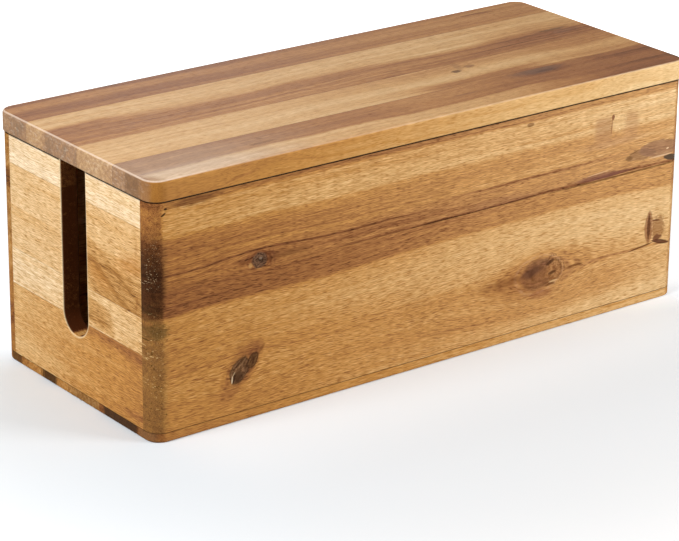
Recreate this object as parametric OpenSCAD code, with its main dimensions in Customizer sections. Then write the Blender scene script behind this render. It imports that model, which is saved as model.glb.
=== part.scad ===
// Cable management box: an open box of edge-glued acacia boards with a cable slot in each end,
// and a loose lid that is kept in place by two cleats underneath.
// X runs along the box, the front is at -Y, +Z is up. The origin is the middle of the underside.

/* [Box] */
// Length of the box, over the outer faces of the two end boards
box_l = 345; // [300:1:420]
// Width of the box, over the outer faces of the front and back boards
box_w = 140; // [120:1:180]
// Height of the wall boards
wall_h = 120; // [100:1:160]
// Thickness of the wall boards
wall_t = 10; // [9:0.5:14]
// Thickness of the base board
base_t = 5; // [4:0.5:9]
// Radius of the upright corners
corner_r = 8; // [6:0.5:10]
// Radius of the eased rim along the top of the walls
wall_ease = 0.8; // [0.4:0.1:1.5]
// Radius of the eased rim around the underside of the base
base_ease = 1.2; // [0.4:0.1:2]

/* [Lid] */
// Thickness of the lid
lid_t = 11; // [9:0.5:16]
// How far the lid stands out past the walls on every side
lid_overhang = 0.5; // [0:0.1:3]
// Radius of the eased rim around the top of the lid
lid_ease_top = 1.5; // [0.5:0.1:3]
// Radius of the eased rim around the underside of the lid
lid_ease_under = 0.8; // [0.4:0.1:2]
// Width of the two cleats that keep the lid in place
cleat_w = 10; // [8:0.5:14]
// Depth that the cleats reach down into the box
cleat_h = 8; // [6:0.5:12]
// Gap between the cleats and the inner faces of the walls
cleat_gap = 1; // [0.5:0.1:2]

/* [Cable slots] */
// Width of the slot in each end board
slot_w = 22; // [12:1:30]
// Height of wall that is left below each slot
slot_sill = 30; // [15:1:45]

/* [Glue lines] */
// Height of the upper stave of the front board
front_upper_h = 46; // [30:1:60]
// Height of the upper stave of the back board
back_upper_h = 58; // [30:1:70]
// Height of the bottom stave of the left end board
left_bottom_h = 39.5; // [32:0.5:44]
// Height of the second stave of the left end board
left_second_h = 19.5; // [14:0.5:24]
// Height of the top stave of the left end board
left_top_h = 15; // [10:0.5:20]
// Height of the bottom stave of the right end board
right_bottom_h = 35; // [32:0.5:44]
// Height of the second stave of the right end board
right_second_h = 24; // [14:0.5:26]
// Height of the top stave of the right end board
right_top_h = 22; // [10:0.5:26]
// Width of the lid's front stave on the box, without the overhang
lid_front_w = 33; // [26:1:40]
// Width of the lid's second stave, counted from the front
lid_second_w = 32; // [20:1:40]
// Width of the lid's back stave on the box, without the overhang
lid_back_w = 28; // [24:1:36]
// Width of the base's front stave
base_front_w = 50; // [40:1:55]
// Width of the base's second stave, counted from the front
base_second_w = 29; // [20:1:35]
// Width of the base's back stave
base_back_w = 23; // [18:1:30]

/* [Joinery] */
// Diameter of the corner dowels
dowel_d = 5; // [4:0.5:5]
// Depth of the dowel holes in the front and back boards
dowel_in_board = 6; // [4:0.5:6]
// Depth of the dowel holes in the end boards
dowel_in_end = 18; // [12:1:24]
// Glue space left at each end of a dowel
dowel_end_gap = 0.5; // [0.2:0.1:0.9]
// Shank diameter of the wood screws
screw_d = 3; // [2.5:0.1:3.5]
// Head diameter of the wood screws
screw_head_d = 6; // [5:0.1:7]
// Length of the screws that hold the base
base_screw_l = 18; // [14:1:24]
// Length of the screws that hold the lid's cleats
cleat_screw_l = 14; // [11:1:15]
// Number of screws along each long side of the base
long_screws = 4; // [2:1:6]
// Number of screws in each cleat
cleat_screws = 3; // [2:1:5]
// Clearance around dowels and screws in their holes
hole_clearance = 0.05; // [0.02:0.01:0.1]

/* [Hidden] */
$fn = 64;
// Inner edges of the walls, and the levels that the boards stack up to
inner_x = box_l / 2 - wall_t;
inner_y = box_w / 2 - wall_t;
wall_top = base_t + wall_h;
lid_top = wall_top + lid_t;
// Extra reach of a cutting shape past the surface it cuts
past = 1;
// A block that is larger than any piece
far = 2 * (box_l + box_w + lid_top);
// The bottom of the slot is a half circle, with its centre this high
slot_arc_z = base_t + slot_sill + slot_w / 2;
// Levels of the glue lines in the walls
front_seam_z = wall_top - front_upper_h;
back_seam_z = wall_top - back_upper_h;
left_levels = [base_t, base_t + left_bottom_h, base_t + left_bottom_h + left_second_h,
    wall_top - left_top_h, wall_top];
right_levels = [base_t, base_t + right_bottom_h, base_t + right_bottom_h + right_second_h,
    wall_top - right_top_h, wall_top];
// Places of the glue lines in the lid and the base, from front to back
lid_seams = [-far, lid_front_w - box_w / 2, lid_front_w + lid_second_w - box_w / 2,
    box_w / 2 - lid_back_w, far];
base_seams = [-far, base_front_w - box_w / 2, base_front_w + base_second_w - box_w / 2,
    box_w / 2 - base_back_w, far];
// The dowels lie in the middle of the end boards, one in each stave
dowel_x = box_l / 2 - wall_t / 2;
// The base screws stand in the middle of the walls above them
screw_x = box_l / 2 - wall_t / 2;
screw_y = box_w / 2 - wall_t / 2;
// First and last screw of a long side, and the two screws of an end, from the box's middle
long_screw_reach = inner_x - 2 * wall_t;
end_screw_y = box_w / 4;
// Screw head, point and cross recess
screw_head_h = (screw_head_d - screw_d) / 2;
screw_point_l = screw_d;
recess_w = screw_d / 5;
recess_l = screw_head_d / 2;
recess_depth = screw_head_h * 0.7;
// The heads lie this far below the wood around them
head_sink = 0.2;
// Cleats
cleat_y = inner_y - cleat_gap - cleat_w / 2;
cleat_l = 2 * (inner_x - cleat_gap);
cleat_ease = 1;
cleat_screw_reach = cleat_l / 2 - 4 * cleat_w;

// ---- Shapes that repeat ----

// Half of a board's cross-section, from 0 out to `reach`, with its outer edges eased
module eased_profile(reach, h, top_ease, under_ease) {
    union() {
        square([reach - max(top_ease, under_ease), h]);
        translate([0, under_ease]) square([reach, h - top_ease - under_ease]);
        translate([reach - top_ease, h - top_ease]) circle(r = top_ease);
        translate([reach - under_ease, under_ease]) circle(r = under_ease);
        square([reach - under_ease, h / 2]);
        translate([0, h / 2]) square([reach - top_ease, h / 2]);
    }
}

// A board's whole cross-section, centred on 0
module eased_section(w, h, top_ease, under_ease) {
    eased_profile(w / 2, h, top_ease, under_ease);
    mirror([1, 0]) eased_profile(w / 2, h, top_ease, under_ease);
}

// A slab with rounded upright corners and eased rims, standing on Z = 0
module eased_slab(l, w, h, top_ease, under_ease) {
    // Middle, which reaches both ends
    rotate([90, 0, 0]) translate([0, 0, corner_r - w / 2]) linear_extrude(w - 2 * corner_r)
        eased_section(l, h, top_ease, under_ease);
    // Strips along the front and the back, between the corners
    rotate([90, 0, 90]) translate([0, 0, corner_r - l / 2]) linear_extrude(l - 2 * corner_r)
        eased_section(w, h, top_ease, under_ease);
    for (x = [-1, 1], y = [-1, 1])
        translate([x * (l / 2 - corner_r), y * (w / 2 - corner_r), 0])
            rotate_extrude() eased_profile(corner_r, h, top_ease, under_ease);
}

// A box between two corners
module block(low, high) {
    translate(low) cube(high - low);
}

// ---- Holes and fasteners ----

// Dowels of one corner: x and y are -1 or 1 and name the corner
module dowels(x, y, levels, d, end_gap) {
    for (i = [0 : len(levels) - 2])
        translate([x * dowel_x, y * inner_y, (levels[i] + levels[i + 1]) / 2])
            rotate([-90 * y, 0, 0]) translate([0, 0, end_gap - dowel_in_end])
                cylinder(d = d, h = dowel_in_end + dowel_in_board - 2 * end_gap);
}

module dowel_holes() {
    for (y = [-1, 1]) {
        dowels(-1, y, left_levels, dowel_d + 2 * hole_clearance, 0);
        dowels(1, y, right_levels, dowel_d + 2 * hole_clearance, 0);
    }
}

// A countersunk wood screw pointing up, with its head's face on Z = 0
module screw(l) {
    difference() {
        union() {
            cylinder(d1 = screw_head_d, d2 = screw_d, h = screw_head_h);
            cylinder(d = screw_d, h = l - screw_point_l);
            translate([0, 0, l - screw_point_l]) cylinder(d1 = screw_d, d2 = screw_d / 5, h = screw_point_l);
        }
        for (turn = [0, 90]) rotate(turn)
            translate([-recess_l / 2, -recess_w / 2, -past]) cube([recess_l, recess_w, past + recess_depth]);
    }
}

// The hole that such a screw lies in, from the open face at Z = 0
module screw_hole(l) {
    bore = screw_d + 2 * hole_clearance;
    head = screw_head_d + 2 * hole_clearance;
    translate([0, 0, -past]) cylinder(d = head, h = past + head_sink);
    translate([0, 0, head_sink]) cylinder(d1 = head, d2 = bore, h = screw_head_h);
    cylinder(d = bore, h = head_sink + l + hole_clearance);
}

// Places of the base screws, as distances from the middle of the base
function spread(n, reach) = [for (i = [0 : n - 1]) reach * (2 * i / (n - 1) - 1)];
front_screws = [for (x = spread(long_screws, long_screw_reach)) [x, -screw_y, 0]];
back_screws = [for (x = spread(long_screws, long_screw_reach)) [x, screw_y, 0]];
left_screws = [for (y = [-1, 1]) [-screw_x, y * end_screw_y, 0]];
right_screws = [for (y = [-1, 1]) [screw_x, y * end_screw_y, 0]];
cleat_front_screws = [for (x = spread(cleat_screws, cleat_screw_reach)) [x, -cleat_y, wall_top - cleat_h]];
cleat_back_screws = [for (x = spread(cleat_screws, cleat_screw_reach)) [x, cleat_y, wall_top - cleat_h]];

module screws(places, l) {
    color("silver") for (p = places) translate(p + [0, 0, head_sink]) screw(l);
}

module screw_holes(places, l) {
    for (p = places) translate(p) screw_hole(l);
}

module base_screw_holes() {
    screw_holes(concat(front_screws, back_screws, left_screws, right_screws), base_screw_l);
}

// ---- Walls ----

// The slots through both end boards, open at the top
module cable_slots() {
    rotate([90, 0, 90]) translate([0, 0, -box_l]) linear_extrude(2 * box_l) union() {
        translate([0, slot_arc_z]) circle(d = slot_w);
        translate([-slot_w / 2, slot_arc_z]) square([slot_w, wall_top + past - slot_arc_z]);
    }
}

// The walls as one ring, before it is divided into boards and staves
module wall_ring() {
    difference() {
        translate([0, 0, base_t]) eased_slab(box_l, box_w, wall_h, wall_ease, wall_ease / 4);
        block([-inner_x, -inner_y, 0], [inner_x, inner_y, lid_top]);
    }
}

// One stave of a long board: y is -1 for the front and 1 for the back
module long_stave(y, low, high) {
    difference() {
        intersection() {
            wall_ring();
            translate([0, y * (inner_y + box_w / 2), (low + high) / 2])
                cube([far, box_w, high - low], center = true);
        }
        dowel_holes();
        base_screw_holes();
    }
}

// One stave of an end board: x is -1 for the left and 1 for the right.
// y_low and y_high pick the whole stave, or the part in front of or behind the slot
module end_stave(x, low, high, y_low, y_high) {
    difference() {
        intersection() {
            wall_ring();
            translate([x * (inner_x + box_l / 2), 0, (low + high) / 2])
                cube([box_l, far, high - low], center = true);
            block([-far, y_low, 0], [far, y_high, lid_top]);
        }
        cable_slots();
        dowel_holes();
        base_screw_holes();
    }
}

module front_stave_lower() { color("peru") long_stave(-1, base_t, front_seam_z); }
module front_stave_upper() { color("sienna") long_stave(-1, front_seam_z, wall_top); }
module back_stave_lower() { color("peru") long_stave(1, base_t, back_seam_z); }
module back_stave_upper() { color("burlywood") long_stave(1, back_seam_z, wall_top); }

module left_whole(i) { end_stave(-1, left_levels[i], left_levels[i + 1], -inner_y, inner_y); }
module left_front(i) { end_stave(-1, left_levels[i], left_levels[i + 1], -inner_y, 0); }
module left_back(i) { end_stave(-1, left_levels[i], left_levels[i + 1], 0, inner_y); }
module right_whole(i) { end_stave(1, right_levels[i], right_levels[i + 1], -inner_y, inner_y); }
module right_front(i) { end_stave(1, right_levels[i], right_levels[i + 1], -inner_y, 0); }
module right_back(i) { end_stave(1, right_levels[i], right_levels[i + 1], 0, inner_y); }

module left_end_stave_bottom() { color("goldenrod") left_whole(0); }
module left_end_stave_second_front() { color("burlywood") left_front(1); }
module left_end_stave_second_back() { color("burlywood") left_back(1); }
module left_end_stave_third_front() { color("peru") left_front(2); }
module left_end_stave_third_back() { color("peru") left_back(2); }
module left_end_stave_top_front() { color("wheat") left_front(3); }
module left_end_stave_top_back() { color("wheat") left_back(3); }
module right_end_stave_bottom() { color("peru") right_whole(0); }
module right_end_stave_second_front() { color("goldenrod") right_front(1); }
module right_end_stave_second_back() { color("goldenrod") right_back(1); }
module right_end_stave_third_front() { color("burlywood") right_front(2); }
module right_end_stave_third_back() { color("burlywood") right_back(2); }
module right_end_stave_top_front() { color("peru") right_front(3); }
module right_end_stave_top_back() { color("peru") right_back(3); }

// ---- Base ----

// One stave of the base, between two glue lines
module base_stave(i) {
    difference() {
        intersection() {
            eased_slab(box_l, box_w, base_t, wall_ease / 4, base_ease);
            block([-far, base_seams[i], -far], [far, base_seams[i + 1], far]);
        }
        base_screw_holes();
    }
}

module base_stave_front() { color("peru") base_stave(0); }
module base_stave_second() { color("burlywood") base_stave(1); }
module base_stave_third() { color("peru") base_stave(2); }
module base_stave_back() { color("sienna") base_stave(3); }

// ---- Joinery of the box ----

module dowels_front_left() { color("wheat") dowels(-1, -1, left_levels, dowel_d, dowel_end_gap); }
module dowels_back_left() { color("wheat") dowels(-1, 1, left_levels, dowel_d, dowel_end_gap); }
module dowels_front_right() { color("wheat") dowels(1, -1, right_levels, dowel_d, dowel_end_gap); }
module dowels_back_right() { color("wheat") dowels(1, 1, right_levels, dowel_d, dowel_end_gap); }
module base_screws_front() { screws(front_screws, base_screw_l); }
module base_screws_back() { screws(back_screws, base_screw_l); }
module base_screws_left() { screws(left_screws, base_screw_l); }
module base_screws_right() { screws(right_screws, base_screw_l); }

// ---- Lid ----

module cleat_screw_holes() {
    screw_holes(concat(cleat_front_screws, cleat_back_screws), cleat_screw_l);
}

// One stave of the lid, between two glue lines
module lid_stave(i) {
    difference() {
        intersection() {
            translate([0, 0, wall_top]) eased_slab(box_l + 2 * lid_overhang, box_w + 2 * lid_overhang,
                lid_t, lid_ease_top, lid_ease_under);
            block([-far, lid_seams[i], 0], [far, lid_seams[i + 1], far]);
        }
        cleat_screw_holes();
    }
}

// A cleat under the lid: y is -1 for the front one and 1 for the back one
module lid_cleat(y) {
    color("burlywood") difference() {
        translate([0, y * cleat_y, wall_top - cleat_h]) rotate([90, 0, 90])
            translate([0, 0, -cleat_l / 2]) linear_extrude(cleat_l)
                eased_section(cleat_w, cleat_h, 0, cleat_ease);
        cleat_screw_holes();
    }
}

module lid_stave_front() { color("rosybrown") lid_stave(0); }
module lid_stave_second() { color("burlywood") lid_stave(1); }
module lid_stave_third() { color("tan") lid_stave(2); }
module lid_stave_back() { color("sienna") lid_stave(3); }
module lid_cleat_front() { lid_cleat(-1); }
module lid_cleat_back() { lid_cleat(1); }
module cleat_screws_front() { screws(cleat_front_screws, cleat_screw_l); }
module cleat_screws_back() { screws(cleat_back_screws, cleat_screw_l); }

front_stave_lower();
front_stave_upper();
back_stave_lower();
back_stave_upper();
left_end_stave_bottom();
left_end_stave_second_front();
left_end_stave_second_back();
left_end_stave_third_front();
left_end_stave_third_back();
left_end_stave_top_front();
left_end_stave_top_back();
right_end_stave_bottom();
right_end_stave_second_front();
right_end_stave_second_back();
right_end_stave_third_front();
right_end_stave_third_back();
right_end_stave_top_front();
right_end_stave_top_back();
base_stave_front();
base_stave_second();
base_stave_third();
base_stave_back();
dowels_front_left();
dowels_back_left();
dowels_front_right();
dowels_back_right();
base_screws_front();
base_screws_back();
base_screws_left();
base_screws_right();
lid_stave_front();
lid_stave_second();
lid_stave_third();
lid_stave_back();
lid_cleat_front();
lid_cleat_back();
cleat_screws_front();
cleat_screws_back();
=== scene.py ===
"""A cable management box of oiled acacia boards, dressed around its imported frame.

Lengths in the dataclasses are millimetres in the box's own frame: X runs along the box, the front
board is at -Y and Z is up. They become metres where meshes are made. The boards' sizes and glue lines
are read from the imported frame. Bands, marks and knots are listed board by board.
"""

from __future__ import annotations

import logging
import math
from collections.abc import Callable, Iterable
from dataclasses import dataclass, replace
from enum import Enum
from functools import reduce
from types import SimpleNamespace

import bmesh
import bpy
from mathutils import Matrix, Quaternion, Vector

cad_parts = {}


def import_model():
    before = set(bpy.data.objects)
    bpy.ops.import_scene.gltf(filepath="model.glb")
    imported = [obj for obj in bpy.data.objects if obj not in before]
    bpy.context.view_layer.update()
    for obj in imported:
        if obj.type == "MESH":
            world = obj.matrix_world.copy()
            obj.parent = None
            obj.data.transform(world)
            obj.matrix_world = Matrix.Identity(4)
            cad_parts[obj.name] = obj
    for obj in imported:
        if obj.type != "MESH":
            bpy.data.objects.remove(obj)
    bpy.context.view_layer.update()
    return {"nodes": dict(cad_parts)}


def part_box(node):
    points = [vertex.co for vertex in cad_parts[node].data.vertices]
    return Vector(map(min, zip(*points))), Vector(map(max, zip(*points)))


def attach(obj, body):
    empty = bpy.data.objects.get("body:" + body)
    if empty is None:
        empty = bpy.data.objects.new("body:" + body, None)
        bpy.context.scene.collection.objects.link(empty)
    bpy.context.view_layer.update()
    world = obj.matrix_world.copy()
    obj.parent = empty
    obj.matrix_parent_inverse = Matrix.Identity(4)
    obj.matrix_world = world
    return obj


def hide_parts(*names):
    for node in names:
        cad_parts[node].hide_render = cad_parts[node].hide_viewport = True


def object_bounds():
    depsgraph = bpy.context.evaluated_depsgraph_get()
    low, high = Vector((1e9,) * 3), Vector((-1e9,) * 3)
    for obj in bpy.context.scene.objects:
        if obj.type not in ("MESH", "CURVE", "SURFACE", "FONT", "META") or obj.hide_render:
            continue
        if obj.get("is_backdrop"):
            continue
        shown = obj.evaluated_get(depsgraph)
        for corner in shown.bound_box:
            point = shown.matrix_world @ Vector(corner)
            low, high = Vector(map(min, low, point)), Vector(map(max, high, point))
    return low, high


log = logging.getLogger("cable_box")

MM = 0.001
SAME = 1e-6  # metres within which two places count as one
MERGE = 1e-7  # metres within which points of a cut or spun mesh are merged
X, Y, Z = range(3)

Socket = bpy.types.NodeSocket
Value = Socket | float | int
Colour = tuple[float, float, float]
Place = tuple[float, float, float]


def srgb(code: str) -> Colour:
    """Turns a hex colour into scene-linear red, green and blue.

    Args:
        code: Six hex digits, such as "C89B62".

    Returns:
        The linear colour.
    """
    parts = [int(code[i : i + 2], 16) / 255 for i in (0, 2, 4)]
    return tuple(c / 12.92 if c <= 0.04045 else ((c + 0.055) / 1.055) ** 2.4 for c in parts)


# ---------------- shader graph


class Graph:
    """Adds shader nodes and joins them, so that a pattern reads like arithmetic."""

    def __init__(self, tree: bpy.types.NodeTree) -> None:
        """Starts an empty graph in the node tree of a material, a world or a group."""
        self.tree = tree
        tree.nodes.clear()

    def node(self, kind: str, inputs: dict[str | int, object] | None = None,
             **settings: object) -> bpy.types.Node:
        """Adds one node.

        Args:
            kind: Blender's name of the node type.
            inputs: What goes into its sockets, by their name or number.
            **settings: Its other properties.

        Returns:
            The new node.
        """
        made = self.tree.nodes.new(kind)
        for name, value in settings.items():
            setattr(made, name, value)
        for name, value in (inputs or {}).items():
            self.put(made.inputs[name], value)
        return made

    def put(self, socket: Socket, value: object) -> None:
        """Joins a socket to another one, or gives it a plain value.

        Args:
            socket: The input socket.
            value: The other socket, a number or a colour.
        """
        if isinstance(value, bpy.types.NodeSocket):
            self.tree.links.new(value, socket)
        elif isinstance(value, tuple) and len(value) == 3 and socket.type == "RGBA":
            socket.default_value = (*value, 1.0)
        else:
            socket.default_value = value

    def _fill(self, made: bpy.types.Node, values: Iterable[object]) -> Socket:
        """Fills a node's first inputs in order.

        Args:
            made: The node.
            values: Sockets, numbers and colours.

        Returns:
            The node's first output.
        """
        for socket, value in zip(made.inputs, values):
            self.put(socket, value)
        return made.outputs[0]

    def math(self, operation: str, *values: Value) -> Socket:
        """Does arithmetic on one to three numbers, with Blender's name of the operation."""
        return self._fill(self.node("ShaderNodeMath", operation=operation), values)

    def add(self, *values: Value) -> Socket:
        """Adds numbers."""
        return reduce(lambda total, value: self.math("ADD", total, value), values)

    def times(self, *values: Value) -> Socket:
        """Multiplies numbers."""
        return reduce(lambda total, value: self.math("MULTIPLY", total, value), values)

    def minus(self, a: Value, b: Value) -> Socket:
        """Takes b from a."""
        return self.math("SUBTRACT", a, b)

    def swing(self, noise: Socket) -> Socket:
        """Moves noise from 0 to 1 down, so that it swings about 0."""
        return self.minus(noise, 0.5)

    def off(self, value: Value, place: float) -> Socket:
        """Distance between a value and a place."""
        return self.math("ABSOLUTE", self.minus(value, place))

    def length(self, *values: Value) -> Socket:
        """Length of a line with the given extents."""
        return self.math("SQRT", self.add(*(self.times(value, value) for value in values)))

    def smooth(self, value: Value, low: Value, high: Value) -> Socket:
        """Rises smoothly from 0 to 1 as value goes from low to high.

        Args:
            value: The number that is looked at.
            low: Where the result is 0.
            high: Where the result is 1. It may be less than low.

        Returns:
            The socket that holds the result.
        """
        inputs = {"Value": value, "From Min": low, "From Max": high}
        made = self.node("ShaderNodeMapRange", inputs, interpolation_type="SMOOTHSTEP", clamp=True)
        return made.outputs["Result"]

    def point(self, x: Value, y: Value, z: Value) -> Socket:
        """Joins three numbers into a vector."""
        return self._fill(self.node("ShaderNodeCombineXYZ"), (x, y, z))

    def parts(self, vector: Socket) -> tuple[Socket, Socket, Socket]:
        """Splits a vector into its three numbers."""
        return tuple(self.node("ShaderNodeSeparateXYZ", {0: vector}).outputs)

    def noise(self, vector: Socket, detail: float, roughness: float, distortion: float = 0.0) -> Socket:
        """Reads soft noise, about 0 to 1, with cells about one unit wide.

        Args:
            vector: Where the noise is read.
            detail: How many finer layers are added.
            roughness: How strong the finer layers are.
            distortion: How far the noise bends itself.

        Returns:
            The socket that holds the noise.
        """
        made = self.node("ShaderNodeTexNoise", {
            "Vector": vector, "Scale": 1.0, "Detail": detail, "Roughness": roughness,
            "Distortion": distortion,
        })
        return made.outputs["Fac"]

    def ramp(self, value: Value, stops: tuple[tuple[float, str], ...]) -> Socket:
        """Turns a number from 0 to 1 into a colour.

        Args:
            value: The number.
            stops: Pairs of place and hex colour, in rising order.

        Returns:
            The socket that holds the colour.
        """
        made = self.node("ShaderNodeValToRGB")
        elements = made.color_ramp.elements
        for _ in range(len(stops) - len(elements)):
            elements.new(0.5)
        for element, (place, code) in zip(elements, stops):
            element.position = place
            element.color = (*srgb(code), 1.0)
        self.put(made.inputs[0], value)
        return made.outputs["Color"]

    def blend(self, share: Value, a: object, b: object, mode: str = "MIX") -> Socket:
        """Mixes colour b into colour a.

        Args:
            share: How much of b, from 0 to 1.
            a: A colour or the socket of one.
            b: A colour or the socket of one.
            mode: Blender's name of the way to mix.

        Returns:
            The socket that holds the mixed colour.
        """
        made = self.node("ShaderNodeMix", data_type="RGBA", blend_type=mode, clamp_factor=True)
        sockets = {s.identifier: s for s in made.inputs}
        self.put(sockets["Factor_Float"], share)
        self.put(sockets["A_Color"], a)
        self.put(sockets["B_Color"], b)
        return next(s for s in made.outputs if s.identifier == "Result_Color")

    def group(self, name: str, build: Callable[[Graph, SimpleNamespace], Socket], **values: Value) -> Socket:
        """Puts a pattern of numbers into a group that all materials share, and uses it once.

        Args:
            name: The group's name.
            build: Makes the pattern from a graph and the group's own input sockets.
            **values: Sockets and numbers for those inputs.

        Returns:
            The socket that holds the result.
        """
        tree = bpy.data.node_groups.get(name)
        if tree is None:
            tree = bpy.data.node_groups.new(name, "ShaderNodeTree")
            inner = Graph(tree)
            for given in values:
                tree.interface.new_socket(given, in_out="INPUT", socket_type="NodeSocketFloat")
            inputs = inner.node("NodeGroupInput").outputs
            result = build(inner, SimpleNamespace(**dict(zip(values, inputs))))
            tree.interface.new_socket("out", in_out="OUTPUT", socket_type="NodeSocketFloat")
            inner.node("NodeGroupOutput", {0: result})
        return self._fill(self.node("ShaderNodeGroup", node_tree=tree), values.values())


# ---------------- wood finishes


class Grain(Enum):
    """Which of the box's axes run along the grain, across it and through the board."""

    UPRIGHT_X = (X, Z, Y)
    FLAT_X = (X, Y, Z)
    UPRIGHT_Y = (Y, Z, X)


class Faces(Enum):
    """Which faces of a board a mark shows on."""

    ALL = "all"
    LEVEL = "level"
    UPRIGHT = "upright"


@dataclass(frozen=True)
class Layer:
    """One layer of noise in the wood.

    Attributes:
        number: Keeps the layers apart.
        cell: Length, height and depth of a cell.
        detail: How many finer layers are added to it.
        roughness: How strong the finer layers are.
        distortion: How far the noise bends itself.
    """

    number: int
    cell: tuple[float, float, float]
    detail: float
    roughness: float
    distortion: float = 0.0


CLOUD = Layer(1, (260, 12, 60), 2.0, 0.5)
STREAK = Layer(2, (260, 2.4, 30), 4.0, 0.6)
LINES = Layer(3, (130, 1.1, 8), 3.0, 0.62)
FIBRE = Layer(4, (5.6, 0.36, 0.36), 1.0, 0.5)
PORES = Layer(5, (3.6, 0.34, 0.34), 0.0, 0.5)
SHIMMER = Layer(6, (8, 30, 20), 2.0, 0.5, 0.6)
DOTS = Layer(7, (4.0, 2.2, 2.2), 4.0, 0.75)
FLECKS = Layer(8, (5.0, 4.0, 1.5), 4.0, 0.7)
WAVE_CELL = (80, 45)
BAND_CELL = (60, 18)

# How far seeds and numbers move the patterns, in cells
SEED_STEP = 7.31
LAYER_STEP = 3.17
AXIS_SHARES = (1.0, 1.7, 0.6)
WAVE_STEP = 4.3
BAND_STEP = 1.9

BOARD_ENDS = (-170.0, 170.0)
ENDLESS = 1000.0

# Noise of the patterns: how many finer layers it has, and how strong they are
WAVE_NOISE = (2.0, 0.45)
BAND_NOISE = (3.0, 0.55)
EDGE_NOISE = (3.0, 0.65)
SPECK_NOISE = (2.0, 0.7)
SPECK_EDGE = (0.62, 0.70)  # noise between which specks come in
EDGE_STEP = 0.37  # how far a mark's place moves the noise of its edge

# How far a surface faces sideways or upwards where a pattern comes in
SIDE_FACE = (0.3, 0.8)
LEVEL_FACE = (0.5, 0.95)
UPRIGHT_FACE = (0.8, 0.4)
# Where the painted gap shade comes in
GAP_SHADE_FACE = (0.97, 0.8)
# Where the painted highlight on the lid's rounded rim comes in
RIM_LOWER = (0.45, 0.7)
RIM_UPPER = (0.985, 0.93)

# Places between which joints, the painted gap shade and the painted highlights come in, and their shares
GLUE_EDGE = (0.32, 0.05)
GLUE_SHARE = 0.24
GAP_SHADE_CORE = 0.4
# The painted highlight on the slots' rounded edges
SLOT_OUTER = (1.6, 0.8)
SLOT_INNER = (0.1, 0.5)
SLOT_SHARE = 0.5
# The painted highlight on the lid's rounded rim
RIM_LEFT = (-120.0, -172.0)
RIM_HEIGHT = (132.0, 134.5)
RIM_LEAST = 0.35

BARK = "2A170B"
GLUE = "3A2010"
# Painted shade in the gaps where boards meet
GAP_SHADE = "100703"
# Painted highlight on the rounded edges of the cable slots
SLOT_HIGHLIGHT = "F6DDB0"
# Painted highlight on the lid's rounded upper edges
RIM_HIGHLIGHT = "F0DCC8"
END_FLECK = "EFE2CE"


@dataclass(frozen=True)
class Oil:
    """How oiled wood shows its grain and takes the light, alike on every stave.

    Attributes:
        still: How much the grain shows in plain wood.
        lively: What dark wood adds to that.
        line_edge: Noise between which the fine grain lines come in.
        pore_edge: Noise between which the pores come in.
        fleck_edge: Noise between which the pale flecks on end grain come in.
        fibre_dark: Darkness that the fibres swing by.
        pore_dark: Darkness that the pores add.
        right_sheen_edge: Darkness between which the painted sheen of the right end fades out.
        fibre_light: Light that the fibres swing by.
        pore_light: Light that the pores add.
        warmth: Powers of that light in green and in blue.
        rough: Roughness of the plain wood.
        fibre_rough: Roughness that the fibres add.
        end_rough: Roughness that end grain adds.
        pore_rough: Roughness that the pores add.
        fibre_relief: How high the fibres stand.
        pore_relief: How deep the pores lie.
        relief: Strength of the relief.
        relief_depth: Depth of the relief, in metres.
        gloss: Strength of the reflection.
    """

    still: float = 0.65
    lively: float = 0.9
    line_edge: tuple[float, float] = (0.5, 0.85)
    pore_edge: tuple[float, float] = (0.54, 0.78)
    fleck_edge: tuple[float, float] = (0.5, 0.72)
    fibre_dark: float = -0.22
    pore_dark: float = 0.12
    right_sheen_edge: tuple[float, float] = (0.85, 0.5)
    fibre_light: float = 0.40
    pore_light: float = -0.07
    warmth: tuple[float, float] = (1.15, 1.4)
    rough: float = 0.44
    fibre_rough: float = 0.14
    end_rough: float = 0.2
    pore_rough: float = 0.1
    fibre_relief: float = 0.5
    pore_relief: float = 0.6
    relief: float = 0.3
    relief_depth: float = 0.00015
    gloss: float = 0.06


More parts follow.
